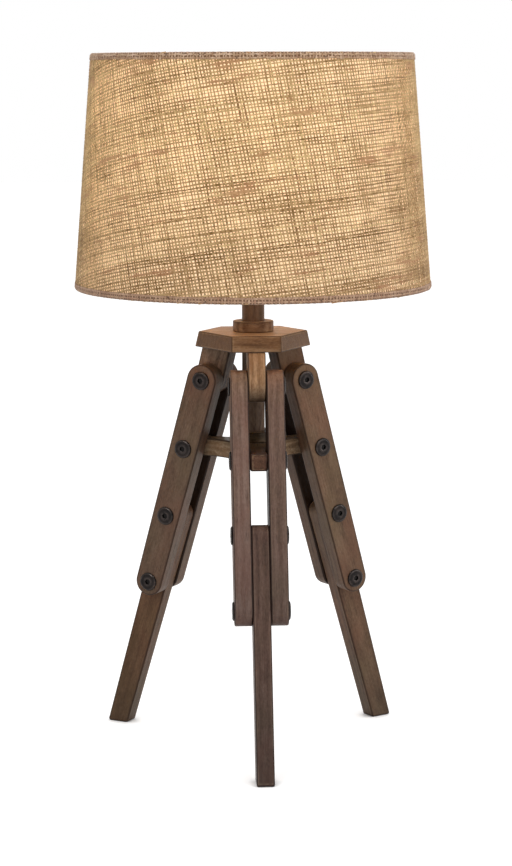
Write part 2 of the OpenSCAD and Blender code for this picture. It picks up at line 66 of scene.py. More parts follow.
def turned_by(angle, axis):
    return Matrix.Rotation(radians(angle), 4, axis)


camera = add_object("camera", bpy.data.cameras.new("camera"))
camera.matrix_world = (Matrix.Translation(CAMERA_PLACE) @ turned_by(CAMERA_TURN, "Z")
                       @ turned_by(90 - CAMERA_FALL, "X") @ turned_by(CAMERA_ROLL, "Z"))
camera.data.lens, camera.data.sensor_width = 95.134, 36
camera.data.clip_start, camera.data.clip_end = 0.05, 60
bpy.context.scene.camera = camera

# ---------- the sizes of the CAD model, in mm and degrees ----------

AZ = {"front": 0, "left": -120, "right": 120}  # each leg's azimuth
LEG_TILT, TONGUE_TILT = 16.4, 14.5
PIVOT_Z, PIVOT_R = 369, 45.5  # the top bolts' height and distance from the axis
BOARD, PITCH = 17.5, 73.2  # a board's thickness, and the distance between a leg's bolts
STACK = 1.5 * BOARD  # half a leg's thickness
CHEEK_TOP, CHEEK_LOW, TONGUE = 16.2, 14.6, 15.4  # half widths
LEG_TOP, LEG_PAST, LEG_CORNER = 13.8, 9.9, 10  # a lower leg's half width, end past the bolt, and corners
LEG_OUT, LEG_IN, FOOT_ROUND = 12.9, 9.1, 2.2  # its foot's outer and inner reach, and corners
HEAD_R, HEX = 9.2, 2.8  # a bolt's head and its hex socket
CAP_Z, CAP_T, CAP_FACE = 403, 15.7, 48  # underside, thickness and a short face's width
CAP_FLARE, CAP_LIP, CAP_ROUND = 8, 0.3, 1.3  # the long faces' slant, the lip over the tongues, and corners
POST_R, COLLAR_R, COLLAR_H, COLLAR_GAP = 11.2, 20.25, 10.5, 0.15
POST_LOW, POST_HIGH, PIPE_R = 302.378, 479.9, 5.3
SPREADER_Z, SPREADER_T = 290.378, 18
ARM, ARM_END, ARM_ROUND, WEB_R = 8.5, 81.168, 2.2, 86  # half width, length, corners and the web between arms
SHADE_Z, SHADE_TOP = 462, 692
SHADE_LOW_R, SHADE_HIGH_R = 354.5 / 2, 317.5 / 2
SLOPE = (SHADE_LOW_R - SHADE_HIGH_R) / (SHADE_TOP - SHADE_Z)


def shade_r(z):
    """The radius of the shade's outline at a height."""
    return SHADE_LOW_R - SLOPE * (z - SHADE_Z)


# ---------- material helpers ----------


class Look:
    """A node material. Most calls add one node and give back its output."""

    def __init__(self, name, **plain):
        self.mat = bpy.data.materials.new(name)
        self.mat.use_nodes = True
        self.tree = self.mat.node_tree
        self.bsdf = self.tree.nodes["Principled BSDF"]
        self.object = self.node("ShaderNodeTexCoord").outputs["Object"]
        for key, value in plain.items():
            self.bsdf.inputs[key.replace("_", " ")].default_value = value

    def node(self, kind, values=(), **props):
        made = self.tree.nodes.new(kind)
        for key, value in props.items():
            setattr(made, key, value)
        for key, value in dict(values).items():
            self.put(made.inputs[key], value)
        return made

    def put(self, socket, value):
        if isinstance(value, bpy.types.NodeSocket):
            self.tree.links.new(value, socket)
        else:
            socket.default_value = value

    def out(self, socket, value):
        self.put(self.bsdf.inputs[socket], value)

    def stretch(self, scale, shift=(0, 0, 0), source=None):
        made = self.node("ShaderNodeMapping", {"Scale": scale, "Location": shift})
        self.put(made.inputs["Vector"], source or self.object)
        return made.outputs[0]

    def noise(self, scale, detail=3.0, rough=0.55, at=None):
        values = {"Vector": at or self.object, "Scale": scale, "Detail": detail, "Roughness": rough}
        return self.node("ShaderNodeTexNoise", values).outputs["Fac"]

    def value(self, op, a, b=0.0, c=0.0):
        made = self.node("ShaderNodeMath", operation=op)
        for socket, given in zip(made.inputs, (a, b, c)):
            self.put(socket, given)
        return made.outputs[0]

    def times(self, a, b):
        return self.value("MULTIPLY", a, b)

    def total(self, *layers, start=0.0):
        """The sum of (output, weight) layers and a start."""
        for layer, weight in layers:
            start = self.value("MULTIPLY_ADD", layer, weight, start)
        return start

    def span(self, a, low, high, to_low=0.0, to_high=1.0):
        values = {"Value": a, "From Min": low, "From Max": high, "To Min": to_low, "To Max": to_high}
        return self.node("ShaderNodeMapRange", values).outputs[0]

    def ramp(self, a, *stops):
        made = self.node("ShaderNodeValToRGB", {"Fac": a})
        points = made.color_ramp.elements
        while len(points) < len(stops):
            points.new(0.5)
        for point, (place, colour) in zip(points, stops):
            point.position = place
            point.color = (*colour, 1)
        return made.outputs[0]

    def mix(self, a, low, high, blend="MIX"):
        made = self.node("ShaderNodeMix", data_type="RGBA", blend_type=blend, clamp_factor=True)
        for socket, given in ((0, a), (6, low), (7, high)):
            self.put(made.inputs[socket], (*given, 1) if isinstance(given, tuple) else given)
        return made.outputs[2]

    def parts(self, vector):
        return self.node("ShaderNodeSeparateXYZ", {"Vector": vector}).outputs

    def attribute(self, name):
        return self.node("ShaderNodeAttribute", attribute_name=name).outputs["Fac"]

    def bump(self, height, distance, strength):
        values = {"Height": height, "Distance": distance, "Strength": strength}
        self.out("Normal", self.node("ShaderNodeBump", values).outputs[0])


def blend_of(a, b, share):
    return tuple(x + (y - x) * share for x, y in zip(a, b))


# linear colours of the two stains
DARK = {"deep": (0.028, 0.014, 0.0085), "mid": (0.092, 0.052, 0.031), "pale": (0.158, 0.098, 0.062),
        "red": (0.12, 0.053, 0.032), "olive": (0.088, 0.058, 0.03), "worn": (0.27, 0.195, 0.14)}
GOLD = {"deep": (0.055, 0.026, 0.0105), "mid": (0.155, 0.084, 0.0375), "pale": (0.3, 0.185, 0.092),
        "red": (0.185, 0.082, 0.031), "olive": (0.17, 0.105, 0.048), "worn": (0.43, 0.31, 0.19)}
EDGE_DARK_LINE = (0.016, 0.008, 0.0055)
WHITE = (1.0, 1.0, 1.0)


def wood(name, tones, grain=1, shift=(0, 0, 0), tint_and_light=WHITE, contrast=1.0, fades=(), own=True, rings_share=0.1,
         end_grain=0.0):
    """Stained wood with its grain along one axis of the piece (0, 1 or 2), or of the scene if own is false.

    A fade is (axis, start, end, colour): the stain is multiplied by the colour at start and is plain at end.
    Some fades and tints paint light and shade.
    Its axis is 1, 2 or 3, and negative where the fade runs both ways from the middle.
    """
    look = Look(name, Specular_IOR_Level=0.12)
    place = look.object
    if own:
        place = look.node("ShaderNodeAttribute", attribute_name="local").outputs["Vector"]
    at = look.stretch((1, 1, 1), shift, place)
    pull = lambda k: tuple(k if i == grain else 1.0 for i in range(3))

    def layer(k, scale, detail, rough=0.55):
        return look.noise(scale, detail, rough, look.stretch(pull(k), source=at))

    # the grain wanders a little sideways
    wander = layer(0.5, 22, 2)
    bent = look.node("ShaderNodeVectorMath", operation="MULTIPLY_ADD")
    look.put(bent.inputs[0], look.node("ShaderNodeCombineXYZ", {k: wander for k in "XYZ"}).outputs[0])
    bent.inputs[1].default_value = tuple(0.0 if i == grain else 0.006 for i in range(3))
    look.put(bent.inputs[2], at)
    at = bent.outputs[0]
    bands = {"Vector": look.stretch(pull(0.1), source=at), "Scale": 46, "Distortion": 5.5, "Detail": 3,
             "Detail Scale": 1.6}
    rings = look.node("ShaderNodeTexWave", bands, bands_direction="XYZ"[(grain + 1) % 3]).outputs["Fac"]
    streak, fibre = layer(0.035, 290, 4, 0.66), layer(0.022, 1000, 3, 0.6)
    pores, patch = layer(0.06, 1300, 2, 0.5), layer(0.35, 17, 3, 0.6)
    mottle, speck = layer(0.3, 150, 4, 0.62), layer(0.5, 620, 2, 0.5)
    tone = look.total((streak, 0.2), (rings, rings_share), (fibre, 0.24), (speck, 0.26), (mottle, 0.32),
                      (patch, 0.46))
    middle, reach = 0.74 + rings_share * 0.5, 0.28 / contrast
    deep, mid, pale, red, olive = (tuple(x * t for x, t in zip(tones[key], tint_and_light))
                                   for key in ("deep", "mid", "pale", "red", "olive"))
    colour = look.ramp(look.span(tone, middle - reach, middle + reach), (0.0, deep), (0.48, mid), (1.0, pale))
    cloud = layer(0.4, 38, 2)
    colour = look.mix(look.span(cloud, 0.5, 0.68, 0, 0.42), colour, red)
    colour = look.mix(look.span(cloud, 0.5, 0.34, 0, 0.38), colour, olive)
    pore = look.span(pores, 0.6, 0.7)
    colour = look.mix(look.times(pore, 0.42), colour, deep)
    split = look.parts(place)
    for axis, start, end, shade in fades:
        along = split[abs(axis) - 1]
        if axis < 0:
            along = look.value("ABSOLUTE", along)
        stain = look.mix(look.span(along, start, end), shade, WHITE)
        colour = look.mix(1.0, colour, stain, "MULTIPLY")
    if end_grain:
        normal = look.node("ShaderNodeTexCoord").outputs["Normal"]
        facing = look.parts(normal)[grain]
        ends = look.span(look.value("ABSOLUTE", facing), 0.35, 0.75, 0.0, end_grain)
        grit = look.noise(700, 3, 0.6, look.stretch((1, 1, 0.25), source=at))
        dull = look.ramp(grit, (0.25, blend_of(deep, mid, 0.35)), (0.75, blend_of(mid, pale, 0.1)))
        colour = look.mix(ends, colour, dull)
    # worn edges, lightened by wear and a painted highlight, and dark lines beside them
    edge_mask = layer(0.25, 210, 4, 0.65)
    wear_and_shading = look.attribute("wear_and_shading")
    worn = look.times(look.span(wear_and_shading, 0.0, 1.0), look.span(edge_mask, 0.38, 0.6))
    colour = look.mix(look.times(worn, 0.5), colour, tones["worn"])
    line = look.times(look.span(wear_and_shading, 0.0, -1.0), look.span(edge_mask, 0.25, 0.5, 0.95, 0.7))
    look.out("Base Color", look.mix(line, colour, EDGE_DARK_LINE))
    look.out("Roughness", look.total((pore, 0.18), start=look.span(streak, 0.3, 0.7, 0.36, 0.5)))
    look.bump(look.total((fibre, 0.8), (pore, -0.9), (speck, 0.5)), 0.00024, 0.6)
    return look.mat


def metal(name, base, dull, rough, metallic=1.0, mottle=90, scratch=0.05, worn=None, painted_shade=None):
    """Metal with dull spots and fine scratches. Given edge colours, rims get wear and a painted highlight,
    hollows painted shade.
    """
    look = Look(name, Metallic=metallic, Specular_IOR_Level=0.38)
    spots = look.noise(mottle, 5, 0.62)
    fine = look.noise(mottle * 14, 3, 0.6)
    marks = look.noise(1400, 2, 0.6, look.stretch((1, 1, 0.05)))
    colour = look.mix(look.span(spots, 0.42, 0.68), base, dull)
    colour = look.mix(look.span(fine, 0.6, 0.78, 0, 0.5), colour, dull)
    if worn:
        wear_and_shading = look.attribute("wear_and_shading")
        edge_mask = look.times(look.span(wear_and_shading, 0.0, 1.0), look.span(spots, 0.3, 0.55))
        colour = look.mix(look.times(edge_mask, 0.8), colour, worn)
        colour = look.mix(look.span(wear_and_shading, 0.0, -1.0), colour, painted_shade)
    look.out("Base Color", colour)
    look.out("Roughness", look.value("ADD", look.span(spots, 0.3, 0.7, rough, rough + 0.16),
                                     look.span(fine, 0.4, 0.7, 0, 0.08)))
    look.bump(look.total((fine, 0.5), (marks, scratch)), 0.00006, 0.5)
    return look.mat


def speckled(name, base, other, scale, rough, relief, **plain):
    """Paint, card, porcelain or plastic with a cloud of a second colour and darker dots."""
    look = Look(name, **plain)
    cloud = look.noise(scale, 5, 0.6)
    dots = look.noise(scale * 9, 3, 0.55)
    colour = look.mix(look.span(cloud, 0.4, 0.66), base, other)
    colour = look.mix(look.span(dots, 0.66, 0.76, 0, 0.7), colour, blend_of(other, (0, 0, 0), 0.45))
    look.out("Base Color", colour)
    look.out("Roughness", look.span(cloud, 0.3, 0.7, rough, rough + 0.14))
    look.bump(dots, relief, 0.5)
    return look.mat


# ---------- mesh helpers ----------

EDGE_ROUND, EDGE_MARK_REACH = 1.5, 0.9  # the radius of a board's edges, and how far their wear and painted highlight reach inwards
SUPPORT = 1.8  # how far from a rounded corner an outline keeps a point
EDGE_LINE = (-0.3, -1.0, -1.0, -0.8, 0.6)  # across a rounded edge: a dark line below 0; above 0 wear and a painted highlight
WELD, ON_AXIS = 1e-7, 1e-6
TURNED_SEGMENTS, BOLT_SEGMENTS = 96, 48


def show(name, mesh, material, body, node=None):
    """Puts a finished mesh into the scene as a piece, which stands for a CAD node where one is given."""
    mesh.materials.append(material)
    made = add_object(name, mesh)
    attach(made, body)
    if node:
        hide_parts(node)
    return made


def face_outwards(mesh, weld=False):
    """Turns every face outwards and shades it smooth, after joining points that coincide if weld is true."""
    edit = bmesh.new()
    edit.from_mesh(mesh)
    if weld:
        bmesh.ops.remove_doubles(edit, verts=edit.verts, dist=WELD)
    bmesh.ops.recalc_face_normals(edit, faces=edit.faces)
    edit.to_mesh(mesh)
    edit.free()
    mesh.shade_smooth()


def add_piece(name, points, faces, material, node, wear_and_shading, matrix=None, flat=40):
    """A mesh piece from points in mm and their edge marks: wear, painted highlight, painted shade and dark
    lines. Edges turned by more than flat degrees stay sharp.
    """
    mesh = bpy.data.meshes.new(name)
    points = np.asarray(points, float) * MM
    mesh.from_pydata([tuple(p) for p in points], [], faces)
    mesh.attributes.new("wear_and_shading", "FLOAT", "POINT").data.foreach_set("value", np.asarray(wear_and_shading, np.float32))
    local = mesh.attributes.new("local", "FLOAT_VECTOR", "POINT")
    local.data.foreach_set("vector", points.astype(np.float32).ravel())
    if matrix is not None:
        mesh.transform(matrix)
    face_outwards(mesh, weld=True)
    mesh.set_sharp_from_angle(angle=radians(flat))
    show(name, mesh, material, "lamp", node)


def corner_at(a, p, b):
    """The directions into and out of the corner p between a and b, and the angle that it turns by."""
    into, out = (p - a) / np.linalg.norm(p - a), (b - p) / np.linalg.norm(b - p)
    return into, out, acos(max(-1, min(1, into @ out)))


def circle(r, z, segments):
    return [(r * cos(FULL * k / segments), r * sin(FULL * k / segments), z) for k in range(segments)]


def stack_faces(rings, count, base=0):
    """Quads between neighbouring rings of count points each, and a face at each end."""
    faces = [[base + k * count + i, base + k * count + (i + 1) % count,
              base + (k + 1) * count + (i + 1) % count, base + (k + 1) * count + i]
             for k in range(rings - 1) for i in range(count)]
    last = base + (rings - 1) * count
    return faces + [list(range(base, base + count)), list(range(last, last + count))]


class Outline:
    """A closed outline, anticlockwise, with rounded corners. at(d) is the outline moved inwards by d."""

    def __init__(self, corners):
        # a corner is (x, y, radius); radius 0 is a point on a smooth curve
        here = [np.array(c[:2], float) for c in corners]
        self.rows = []
        for i, (_, _, radius) in enumerate(corners):
            p = here[i]
            into, out, turn = corner_at(here[i - 1], p, here[(i + 1) % len(here)])
            n1, n2 = np.array([into[1], -into[0]]), np.array([out[1], -out[0]])
            mitre = (n1 + n2) / (1 + n1 @ n2)
            if radius <= 0:
                self.rows.append((p, mitre, None, 0.0))
                continue
            reach = radius * tan(turn / 2)
            centre = p - mitre * radius
            self.rows.append((p - into * (reach + SUPPORT), n1, None, 0.0))
            for k, wear_and_shading in enumerate(EDGE_LINE):
                angle = atan2(n1[1], n1[0]) + turn * (k / (len(EDGE_LINE) - 1))
                n = np.array([cos(angle), sin(angle)])
                self.rows.append((centre + n * radius, n, (centre, p, radius), wear_and_shading))
            self.rows.append((p + out * (reach + SUPPORT), n2, None, 0.0))
        self.wear_and_shading = np.array([row[3] for row in self.rows])

    def at(self, d):
        points = []
        for p, n, corner, _ in self.rows:
            if corner is None:
                points.append(p - n * d)
                continue
            centre, sharp, radius = corner
            points.append(centre + n * (radius - d) if d < radius else sharp + (centre - sharp) * d / radius)
        return np.array(points)


def arc(cx, cy, r, start, end, steps):
    """Outline points on an arc, from start to end in degrees."""
    angles = (radians(start + (end - start) * k / steps) for k in range(steps + 1))
    return [(cx + r * cos(a), cy + r * sin(a), 0) for a in angles]


def board(name, outline, z0, z1, material, node, matrix=None, low=None, edge=EDGE_ROUND):
    """A board between z0 and z1 with rounded edges. low is its outline at z0 where that is another one."""
    low = low or outline
    rings = [(edge + EDGE_MARK_REACH, 0.0, 0.0)]
    rings += [(edge * (1 - sin(a)), edge * (1 - cos(a)), w)
              for a, w in zip(np.linspace(0, pi / 2, len(EDGE_LINE)), EDGE_LINE)]
    rings += [(0.0, edge + EDGE_MARK_REACH, 0.0)]
    stack = [(d, z1 - deep, w) for d, deep, w in rings] + [(d, z0 + deep, w) for d, deep, w in rings[::-1]]
    points, wear_and_shading = [], []
    for d, z, w in stack:
        share = (z - z0) / (z1 - z0)
        points += [(x, y, z) for x, y in outline.at(d) * share + low.at(d) * (1 - share)]
        corner = outline.wear_and_shading * (0.0 if d > edge else 1.0)
        least, most = np.minimum(corner, w), np.maximum(corner, w)
        wear_and_shading += list(np.where(least < 0, least, most))
    faces = stack_faces(len(stack), len(outline.rows))
    add_piece(name, points, faces, material, node, wear_and_shading, matrix)


def profile_of(corners):
    """The points, and the edge wear and painted light, of a closed profile from (radius, height, rounding)
    corners.
    """
    rows = []
    for i, (r, z, radius) in enumerate(corners):
        if radius <= 0:
            rows.append((r, z, 0.0))
            continue
        p = np.array([r, z], float)
        a, b = (np.array(corners[(i + s) % len(corners)][:2], float) for s in (-1, 1))
        into, out, turn = corner_at(a, p, b)
        reach = radius * tan(turn / 2)
        first, last = p - into * reach, p + out * reach
        for k, wear_and_shading in enumerate(EDGE_LINE):
            f = k / (len(EDGE_LINE) - 1)
            q = first * (1 - f) ** 2 + p * 2 * f * (1 - f) + last * f ** 2
            rows.append((q[0], q[1], wear_and_shading))
    return rows


def turned(name, corners, material, node, flat=40):
    """A piece turned about the lamp's axis."""
    points, faces, wear_and_shading, rings = [], [], [], []
    for r, z, w in profile_of(corners):
        ring = [(0, 0, z)] if r < ON_AXIS else circle(r, z, TURNED_SEGMENTS)
        rings.append(range(len(points), len(points) + len(ring)))
        points += ring
        wear_and_shading += [w] * len(ring)
    for a, b in zip(rings, rings[1:] + rings[:1]):
        for k in range(TURNED_SEGMENTS):
            n = (k + 1) % TURNED_SEGMENTS
            face = list(dict.fromkeys([a[k % len(a)], a[n % len(a)], b[n % len(b)], b[k % len(b)]]))
            if len(face) > 2:
                faces.append(face)
    add_piece(name, points, faces, material, node, wear_and_shading, flat=flat)


# ---------- wooden pieces ----------


def leg_frame(az, tilt=LEG_TILT):
    """x is outward across the leg, y up the leg and z across its boards."""
    return (turned_by(az, "Z") @ Matrix.Translation((0, -PIVOT_R * MM, PIVOT_Z * MM)) @ turned_by(-tilt, "X")
            @ turned_by(-90, "Z") @ turned_by(90, "X"))


def cut_at(height, x, tilt):
    """y of the leg frame where x meets a world height above the top bolts."""
    t = radians(tilt)
    return (height - x * sin(t)) / cos(t)


def cheek_outline():
    length = 3 * PITCH
    turn = degrees(asin((CHEEK_TOP - CHEEK_LOW) / length))
    return Outline(arc(0, 0, CHEEK_TOP, -turn, 180 + turn, 44)
                   + arc(0, -length, CHEEK_LOW, 180 + turn, 360 - turn, 40))


def tongue_outline():
    top = CAP_Z - PIVOT_Z
    right, left = cut_at(top, TONGUE, TONGUE_TILT), cut_at(top, -TONGUE, TONGUE_TILT)
    return Outline(arc(0, 0, TONGUE, -180, 0, 40) + [(TONGUE, right, 1), (-TONGUE, left, 1)])


def lower_leg_outline():
    """The lower leg tapers inside, and its foot is cut level."""
    shoulder = -2 * PITCH + LEG_PAST - LEG_CORNER
    slant = (LEG_IN - LEG_TOP) / (PIVOT_Z / cos(radians(LEG_TILT)) + shoulder)
    y = -PIVOT_Z
    for _ in range(20):  # the cut and the taper settle on each other
        x = -LEG_TOP - slant * (shoulder - y)
        y = cut_at(-PIVOT_Z, x, LEG_TILT)
    outer = cut_at(-PIVOT_Z, LEG_OUT, LEG_TILT)
    flat = LEG_TOP - LEG_CORNER
    return Outline([(x, y, FOOT_ROUND), (LEG_OUT, outer, FOOT_ROUND)]
                   + arc(flat, shoulder, LEG_CORNER, 0, 90, 12) + arc(-flat, shoulder, LEG_CORNER, 90, 180, 12))


def spreader_outline():
    web = (ARM + WEB_R) / sin(radians(60))
    corners = []
    for az in (0, 120, 240):
        a, b = radians(az), radians(az + 60)
        along, side = np.array([sin(a), -cos(a)]), np.array([cos(a), sin(a)])
        corners += [(*(along * ARM_END + side * s * ARM), ARM_ROUND) for s in (-1, 1)]
        centre = np.array([sin(b), -cos(b)]) * web
        start = degrees(atan2(*(-side)[::-1]))
        corners += arc(*centre, WEB_R, start, start - 60, 20)
    return Outline(corners)


def cap_outline(deep):
    """The six-sided cap, deep below its top."""
    t = radians(TONGUE_TILT)
    up = (CAP_Z - PIVOT_Z - TONGUE * sin(t)) / cos(t)
    short = PIVOT_R + TONGUE * cos(t) - up * sin(t) + CAP_LIP - CAP_T * tan(t)
    long = CAP_FACE / 2 * cos(radians(30)) + short * sin(radians(30))
    short, long = short + deep * tan(t), long + deep * tan(radians(CAP_FLARE))
    faces = [(az, short if i % 2 == 0 else long) for i, az in enumerate(range(0, 360, 60))]
    corners = []
    for (a, ra), (b, rb) in zip(faces, faces[1:] + faces[:1]):
        u, v = radians(a - 90), radians(b - 90)
        lines = np.array([[cos(u), sin(u)], [cos(v), sin(v)]])
        corners.append((*np.linalg.solve(lines, [ra, rb]), CAP_ROUND))
    return Outline(corners)


# each board's stain, in red, green and blue, and painted light and shade by how light falls on it
BOARD_TINT_AND_LIGHT = {
    "cheek_front_left": (1.26, 1.4, 1.8), "cheek_front_right": (1.2, 1.29, 1.64),
    "cheek_left_near": (1.1, 1.19, 1.29), "cheek_left_far": (1.00, 0.95, 0.88),
    "cheek_right_near": (1.3, 1.34, 1.34), "cheek_right_far": (1.02, 0.98, 0.92),
    "tongue_front": (1.3, 1.38, 1.62), "tongue_left": (1.95, 2.08, 2.25), "tongue_right": (1.2, 1.06, 0.94),
    "lower_leg_front": (0.84, 0.85, 1.06), "lower_leg_left": (0.95, 0.83, 0.71),
    "lower_leg_right": (1.25, 1.22, 1.18),
}
# fades, with places in m: painted shade on the cheeks' hidden inner faces, the front tongue's end, and the
# darker feet
INNER_FACE_SHADE = (-3, (BOARD / 2 + 0.6) * MM, (BOARD / 2 + 2.0) * MM, (0.24, 0.21, 0.19))
TONGUE_END = (2, -0.018, 0.006, (0.42, 0.45, 0.52))
FOOT_Y = -PIVOT_Z / cos(radians(LEG_TILT)) * MM
FOOT_END = (2, FOOT_Y, FOOT_Y + 0.14, (0.61, 0.68, 0.7))
CHEEK_GAP, CORE_GAP = 0.02, 0.05  # how far a cheek and the boards between two cheeks stay back
PAIRS = {"front": ("left", "right"), "left": ("far", "near"), "right": ("near", "far")}


def leg_board(node, outline, z0, z1, tones, shift, contrast, fades, matrix):
    stain = wood(f"{node}_wood", tones, 1, shift, BOARD_TINT_AND_LIGHT[node], contrast, fades)
    board(f"{node}_board", outline, z0, z1, stain, node, matrix)


cheek_shape, tongue_shape, leg_shape = cheek_outline(), tongue_outline(), lower_leg_outline()
core = (-BOARD / 2 + CORE_GAP, BOARD / 2 - CORE_GAP)
for n, (side, az) in enumerate(AZ.items()):
    front = side == "front"
    # the cheeks' top ends are lighter: a golden stain and a painted highlight of light from above
    golden_lit_top_end = (2, 0.012, -0.022, (1.3, 1.32, 1.18) if front else (1.12, 1.12, 1.08))
    low_end = (2, -0.215, -0.12, (0.77, 0.78, 0.8) if front else (0.95, 0.95, 0.95))
    for k, (word, middle) in enumerate(zip(PAIRS[side], (BOARD, -BOARD))):
        leg_board(f"cheek_{side}_{word}", cheek_shape, middle - BOARD / 2, middle + BOARD / 2 - CHEEK_GAP, DARK,
                  (0.31 * n, 0.17 * k, 0.43 * n + 0.2 * k), 1.15 if front else 1.05,
                  (INNER_FACE_SHADE, golden_lit_top_end, low_end), leg_frame(az))
    leg_board(f"tongue_{side}", tongue_shape, *core, GOLD if front else DARK, (0.7 + n, 0.2, 0.1 * n),
              1.25 if front else 1.7, [TONGUE_END] if front else (), leg_frame(az, TONGUE_TILT))
    leg_board(f"lower_leg_{side}", leg_shape, *core, DARK, (0.5 * n, 0.9, 0.27 * n), 1.25, [FOOT_END],
              leg_frame(az))

# the second fade is painted shade: it darkens the spreader's top face, under the cap and collar
front_arm, shaded_spreader_top = (2, -0.07, -0.06, (0.46, 0.32, 0.31)), (3, 0.3078, 0.3045, (0.55, 0.55, 0.55))
board("spreader_plate", spreader_outline(), SPREADER_Z, SPREADER_Z + SPREADER_T,
      wood("spreader_wood", GOLD, 1, (0.2, 0.1, 0.6), (0.98, 1.2, 1.6), 1.5, [front_arm, shaded_spreader_top]),
      "spreader", edge=1.9)
# painted light: the cap's top face is lightened as if lit by the bulb above it
painted_light_cap_top = (3, (CAP_Z + CAP_T) * MM, (CAP_Z + CAP_T - 1.6) * MM, (1.72, 1.86, 2.02))
board("cap_block", cap_outline(0), CAP_Z, CAP_Z + CAP_T,
      wood("cap_wood", GOLD, 0, (0.1, 0.4, 0.2), (0.72, 0.76, 0.89), 1.35, [painted_light_cap_top], rings_share=0.16,
           end_grain=0.9),
      "cap_plate", low=cap_outline(CAP_T), edge=1.2)

# the lower collar's tint is painted shade: it darkens the top collar's wood where shade falls beneath the cap
# and legs
for node, low, tint_and_light in (("top_collar", CAP_Z + CAP_T, (0.79, 0.85, 1.1)),
                        ("lower_collar", SPREADER_Z + SPREADER_T, (0.245, 0.25, 0.21))):
    bore, high = POST_R + COLLAR_GAP, low + COLLAR_H
    turned(f"{node}_ring", [(bore, low, 0.3), (COLLAR_R, low, 0.9), (COLLAR_R, high, 1.1), (bore, high, 0.5)],
           wood(f"{node}_wood", GOLD, 0, (0.3, low * MM, 0.5), tint_and_light, 1.4, rings_share=0.16),
           node)
# painted shade: the post is darkened below the cap, where it stands in shade
shaded_low_post = (3, 0.385, 0.405, (0.53, 0.47, 0.41))
turned("post_rod",
       [(PIPE_R, POST_LOW, 0.3), (POST_R, POST_LOW, 0.5), (POST_R, POST_HIGH, 0.8), (PIPE_R, POST_HIGH, 0.3)],
       wood("post_wood", DARK, 2, (0.4, 0.1, 0.3), (1.00, 1.05, 1.12), 1.0, [shaded_low_post]), "post")

# ---------- bolts and cap nuts ----------

# the bolts' rubbed colour also paints a highlight on their rims, and the near-black one paints shade on their
# walls and sockets
blackened = metal("blackened_steel", (0.006, 0.0045, 0.0043), (0.015, 0.01, 0.0085), 0.11, 0.75, 170, 0.1,
                  (0.11, 0.088, 0.08), (0.0026, 0.0015, 0.0012))
# radius inside the head's rim, height above the board, and wear with painted light and shade
# the head's wall is painted dark as shade; its rim is worn and painted lighter as a highlight
DOME = ((0.25, 0, -1), (0, 0.25, -1), (0, 0.95, -0.9), (0.1, 1.2, 0), (0.6, 1.58, 0.3), (1.2, 1.9, 0.4),
        (1.8, 2.06, 0.1), (3.4, 2.16, 0), (4.8, 2.24, 0.2))
# the hex socket: radius past its own, height above the board, and wear; its inside is painted dark as shade
SOCKET = ((0.4, 2.28, 0.4), (0, 2.05, -0.6), (-0.06, 0.75, -1.0))


def hexagon(r, z, spin):
    """A hexagon turned by spin, with as many points as the rings of the head."""
    ring = []
    for k in range(BOLT_SEGMENTS):
        a = FULL * k / BOLT_SEGMENTS
        wedge = (a - spin) % (pi / 3) - pi / 6
        reach = r * cos(pi / 6) / cos(wedge)
        ring.append((reach * cos(a), reach * sin(a), z))
    return ring


def bolt_set(name, node, az, side):
    """Four domed heads with hex sockets and their shanks, on one side of a leg."""
    shank_r, shank = (3.0, 2 * STACK - 2) if side > 0 else (4.3, 14)
    head = [(shank_r, -shank, 0), (shank_r, 0, -1)] + [(HEAD_R - inside, z, w) for inside, z, w in DOME]
    points, faces, wear_and_shading = [], [], []
    for i in range(4):
        spin = 0.7 * i + 0.4 * side + radians(az)
        rings = [(circle(r, z, BOLT_SEGMENTS), w) for r, z, w in head]
        rings += [(hexagon(HEX + past, z, spin), w) for past, z, w in SOCKET]
        faces += stack_faces(len(rings), BOLT_SEGMENTS, len(points))
        for ring, w in rings:
            points += [(x, y - PITCH * i, side * (STACK + z)) for x, y, z in ring]
            wear_and_shading += [w] * BOLT_SEGMENTS
    add_piece(name, points, faces, blackened, node, wear_and_shading, leg_frame(az), 50)


for side, az in AZ.items():
    bolt_set(f"bolt_heads_{side}", f"bolts_{side}", az, 1)
    bolt_set(f"nut_heads_{side}", f"cap_nuts_{side}", az, -1)

# ---------- hardware that keeps its CAD shape ----------

METALS = {
    "aged_brass": ((0.5, 0.345, 0.15), (0.235, 0.145, 0.065), 0.24, 1.0, 120, 0.25),
    "bright_brass": ((0.78, 0.58, 0.27), (0.52, 0.36, 0.15), 0.18, 1.0, 200, 0.15),
    "zinc_steel": ((0.6, 0.6, 0.585), (0.4, 0.405, 0.41), 0.3, 1.0, 260, 0.3),
    "bulb_metal": ((0.74, 0.73, 0.71), (0.5, 0.49, 0.47), 0.26, 1.0, 220, 0.3),
}
PLAINS = {
    "white_wire": ((0.74, 0.72, 0.66), (0.66, 0.62, 0.54), 160, 0.3, 0.00004),
    "fibre_card": ((0.56, 0.45, 0.3), (0.44, 0.33, 0.2), 420, 0.74, 0.00008),
    "black_plastic": ((0.017, 0.017, 0.018), (0.026, 0.025, 0.025), 300, 0.34, 0.00005),
}
finishes = {name: metal(name, *values) for name, values in METALS.items()}
finishes |= {name: speckled(name, *values) for name, values in PLAINS.items()}
finishes["porcelain"] = speckled("porcelain", (0.82, 0.79, 0.72), (0.76, 0.72, 0.63), 130, 0.16, 0.00003,
                                 Coat_Weight=0.6)
raw_wood = {key: blend_of(value, (0.62, 0.46, 0.28), 0.8) for key, value in GOLD.items()}
finishes["dowel_wood"] = wood("dowel_wood", raw_wood, 2, own=False)
finishes["blackened_steel"] = blackened
